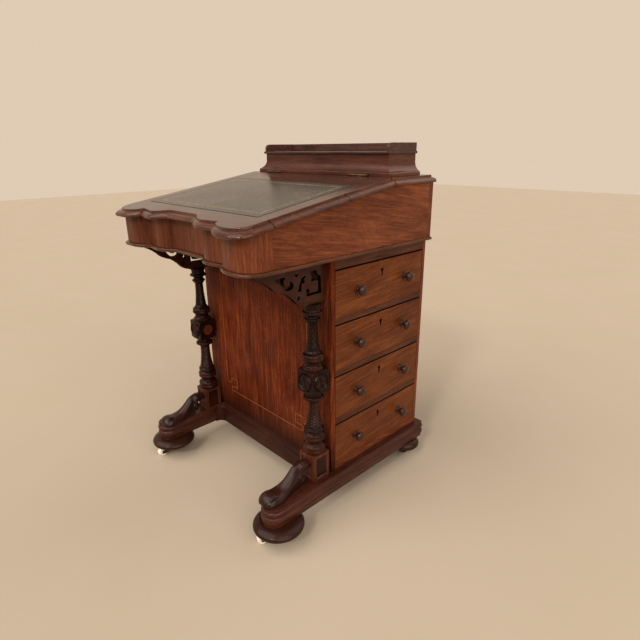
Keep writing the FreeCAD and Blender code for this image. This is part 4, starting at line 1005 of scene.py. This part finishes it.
def moulding_joint(place):
    """Dark line across the right side's moulding, where two lengths of it meet."""
    section = [(LID_HALF + 0.1 - inset, depth + 0.05) for inset, depth in EDGE_MOULDING] + [(244, -8)]
    return lofted([[(x, y, z) for x, z in section] for y in (place, place + JOINT_WIDE)])


def writing_leather():
    """Skiver with its dark edge and two tooled lines."""
    shape = bmesh.new()
    shape.faces.new([shape.verts.new(spot) for spot in level_ring(LEATHER_HALF, LEATHER_FRONT, LEATHER_BACK, -1.2)])
    field = thickened(shape, 1.4)
    for wide, finish in ((2.0, 2), (17.0, 0), (1.8, 1), (3.0, 0), (1.4, 1)):
        made = bmesh.ops.inset_region(shape, faces=field, thickness=wide, depth=0.0, use_even_offset=True)
        for face in made["faces"]:
            face.material_index = finish
    return shape


top_finishes = [top_veneer, edge_x, edge_y]
lid = placed(edged(moulded(lid_plan, EDGE_MOULDING)), ON_SLOPE)
add_piece("moulded_lid", lid, "slope", top_finishes, ["slope_lid"])
add_piece("moulding_joints", placed(gathered([moulding_joint(y) for y in JOINT_YS]), ON_SLOPE), "slope",
          [shade_and_joint_black])
add_piece("moulded_flat_top", edged(moulded(top_plan, EDGE_MOULDING)), "desk", top_finishes, ["flat_top"])
add_piece("tooled_skiver", placed(writing_leather(), ON_SLOPE), "slope", [skiver, gilt, shade_and_joint_black],
          ["leather"])

# Stationery box: hollowed walls, rounded lid and low gallery

STATIONERY_REAR, WALL_HALF, WALL_FRONT, WALL_TALL = 252.6, 230.5, 139.6, 47
INNER_HALF, INNER_FRONT, INNER_REAR = 205.5, 164.6, 242.6
hollow = [(0.5, 0.0), (0.0, 0.6), (0.0, 6.6), (0.7, 7.4), (1.0, 8.0)]
hollow += [(point.x, point.y) for point in arc(Vector((1.0, 8.0)), Vector((14.6, 35.6)), -0.17, 10)]
hollow += [(15.0, 36.4), (15.0, 46.6), (15.4, 47.0)]
walls = [level_ring(WALL_HALF - inset, WALL_FRONT + inset, STATIONERY_REAR, TOP_FACE + up) for inset, up in hollow]
walls += [level_ring(INNER_HALF + ease, INNER_FRONT - ease, INNER_REAR + ease, TOP_FACE + up)
          for ease, up in ((0.4, WALL_TALL), (0, WALL_TALL - 0.4), (0, 0))]
walls = tinted(lofted(walls, closed=True), 1, lambda normal, spot: abs(normal.x) > 0.55)
add_piece("hollowed_walls", walls, "desk", [hollow_wood, edge_y], ["stationery_walls"])

NOSING = [(1.8, 0), (0.5, 0.8), (0, 2.4), (0, 3.6), (0.5, 5.2), (1.8, 6)]
NOSING_HALF, NOSING_FRONT, GALLERY_FRONT = 220.5, 149.6, 152.6
GALLERY_HALF, GALLERY_BASE, GALLERY_TALL, GALLERY_THICK, GALLERY_ROUND = 210.5, TOP_FACE + 53, 18, 7, 12


def nosing_plan(inset, height):
    return level_ring(NOSING_HALF - inset, NOSING_FRONT + inset, STATIONERY_REAR, TOP_FACE + WALL_TALL + height)


add_piece("rounded_lid", moulded(nosing_plan, NOSING), "stationery_top", [gallery_wood], ["stationery_lid"])
gallery_top = GALLERY_BASE + GALLERY_TALL
gallery_end = outline([(STATIONERY_REAR, GALLERY_BASE, 0), (STATIONERY_REAR, gallery_top, 0),
                       (GALLERY_FRONT + GALLERY_ROUND, gallery_top, 0),
                       (GALLERY_FRONT, gallery_top - GALLERY_ROUND, -QUARTER), (GALLERY_FRONT, GALLERY_BASE, 0)], 10)
right_end = moved(sawn(gallery_end, [], GALLERY_THICK, 1.4), GALLERY_HALF, 0, 0)
rail = plank((-GALLERY_HALF, GALLERY_HALF), (STATIONERY_REAR - GALLERY_THICK, STATIONERY_REAR),
             (GALLERY_BASE, gallery_top), 1.4)
add_piece("low_gallery", gathered([both_sides(right_end), rail]), "stationery_top", [gallery_wood],
          ["gallery"])

# Nest of two small drawers inside the desk

NEST_HALF, NEST_Y, NEST_Z, NEST_DIVIDER = 239, (132.5, 262.5), (607, 665), 4
NEAR, FAR, SMALL_SIDE, SMALL_REAR = 4.8, 238.2, 6, 261.7
nest = [plank((-NEST_HALF, NEST_HALF), NEST_Y, (NEST_Z[1], NEST_Z[1] + 8)),
        plank((-NEST_DIVIDER, NEST_DIVIDER), NEST_Y, NEST_Z)]
add_piece("nest_boards", gathered(nest), "desk", [inside_x], ["interior_nest"])


def small_drawer():
    """Small drawer with its knob, on the right."""
    up, face, inner = (NEST_Z[0], 664.2), NEST_Y[0], 141.5
    back, inside = SMALL_REAR - SMALL_SIDE, (NEAR + SMALL_SIDE, FAR - SMALL_SIDE)
    boards = [((NEAR, FAR), (face, inner), up), ((NEAR, inside[0]), (inner, SMALL_REAR), up),
              ((inside[1], FAR), (inner, SMALL_REAR), up), (inside, (back, SMALL_REAR), up),
              (inside, (inner, back), (up[0], up[0] + SMALL_SIDE))]
    handle = placed(turned(KNOB, 5, 32, (6.5, 13)), Matrix.Rotation(math.pi / 2, 4, "X"))
    moved(handle, (NEAR + FAR) / 2, face, sum(up) / 2)
    return gathered([plank(x, y, z, 0.5) for x, y, z in boards] + [handle])


for side, drawer in (("right", small_drawer()), ("left", other_side(small_drawer()))):
    add_piece(f"nest_drawer_{side}", drawer, f"small_drawer_{side}", [inside_x],
              [f"interior_drawer_{side}"])

# Solids of the frame that keep their own shape

for node in ("castor_plates", "hinge_leaves_fixed", "hinge_leaves_lid", "hinge_leaves_stationery"):
    for material_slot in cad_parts[node].material_slots:
        material_slot.material = brass

# Floor, light and camera

stone = Finish("pale floor")
stone.shine(0.85)
stone.colour(stone.ramp(stone.noise(3, 3.0, 0.5), (0.35, tone(185, 167, 145)), (0.65, tone(187, 169, 148))))
ground = bmesh.new()
bmesh.ops.create_grid(ground, x_segments=1, y_segments=1, size=9.0)
floor_mesh = bpy.data.meshes.new("studio_floor")
ground.to_mesh(floor_mesh)
ground.free()
floor_mesh.materials.append(stone.material)
floor = shown("studio_floor", floor_mesh)

# The camera and polished faces see a plain wall, and everything else is lit by a dimmer sky
world = bpy.data.worlds.new("studio")
world.use_nodes = True
nodes, link = world.node_tree.nodes, world.node_tree.links.new
sky, wall = nodes["Background"], nodes.new("ShaderNodeBackground")
rays, backdrop = nodes.new("ShaderNodeLightPath"), nodes.new("ShaderNodeMixShader")
sky.inputs["Color"].default_value = tone(240, 228, 214)
sky.inputs["Strength"].default_value = 0.33
wall.inputs["Color"].default_value = tone(224, 203, 181)
seen = rays.outputs["Is Camera Ray"]
for kind in ("Glossy", "Transmission"):
    either = nodes.new("ShaderNodeMath")
    either.use_clamp = True
    link(seen, either.inputs[0])
    link(rays.outputs[f"Is {kind} Ray"], either.inputs[1])
    seen = either.outputs["Value"]
for socket, source in enumerate((seen, sky.outputs["Background"], wall.outputs["Background"])):
    link(source, backdrop.inputs[socket])
link(backdrop.outputs["Shader"], nodes["World Output"].inputs["Surface"])
bpy.context.scene.world = world


def soft_light(name, towards, spread, strength, colour):
    """Broad soft light from one direction."""
    lamp = bpy.data.lights.new(name, "SUN")
    lamp.angle = math.radians(spread)
    lamp.energy = strength
    lamp.color = colour
    light = shown(name, lamp)
    light.rotation_mode = "QUATERNION"
    light.rotation_quaternion = Vector(towards).to_track_quat("-Z", "Y")


soft_light("front_light", (0.40, 1.0, -1.20), 60, 2.10, (1.0, 0.96, 0.90))
soft_light("side_light", (-1.0, 0.30, -0.55), 60, 1.75, (1.0, 0.96, 0.91))
soft_light("window_light", (-0.35, 1.0, -0.80), 9, 0.90, (1.0, 0.98, 0.95))
soft_light("rear_light", (-0.4, -1.0, -1.2), 50, 0.5, (1.0, 0.97, 0.94))

view = bpy.data.cameras.new("view")
view.sensor_fit = "HORIZONTAL"
view.sensor_width = 36.0
view.lens = 27.48
view.clip_start = 0.05
view.clip_end = 60.0
camera = shown("view", view)
camera.matrix_world = Matrix(((0.6921, -0.2345, 0.6826, 0.9221),
                              (0.7218, 0.2378, -0.6500, -0.7304),
                              (-0.0099, 0.9426, 0.3338, 0.8128),
                              (0, 0, 0, 1)))
bpy.context.scene.camera = camera
bpy.context.scene.view_settings.view_transform = "Standard"
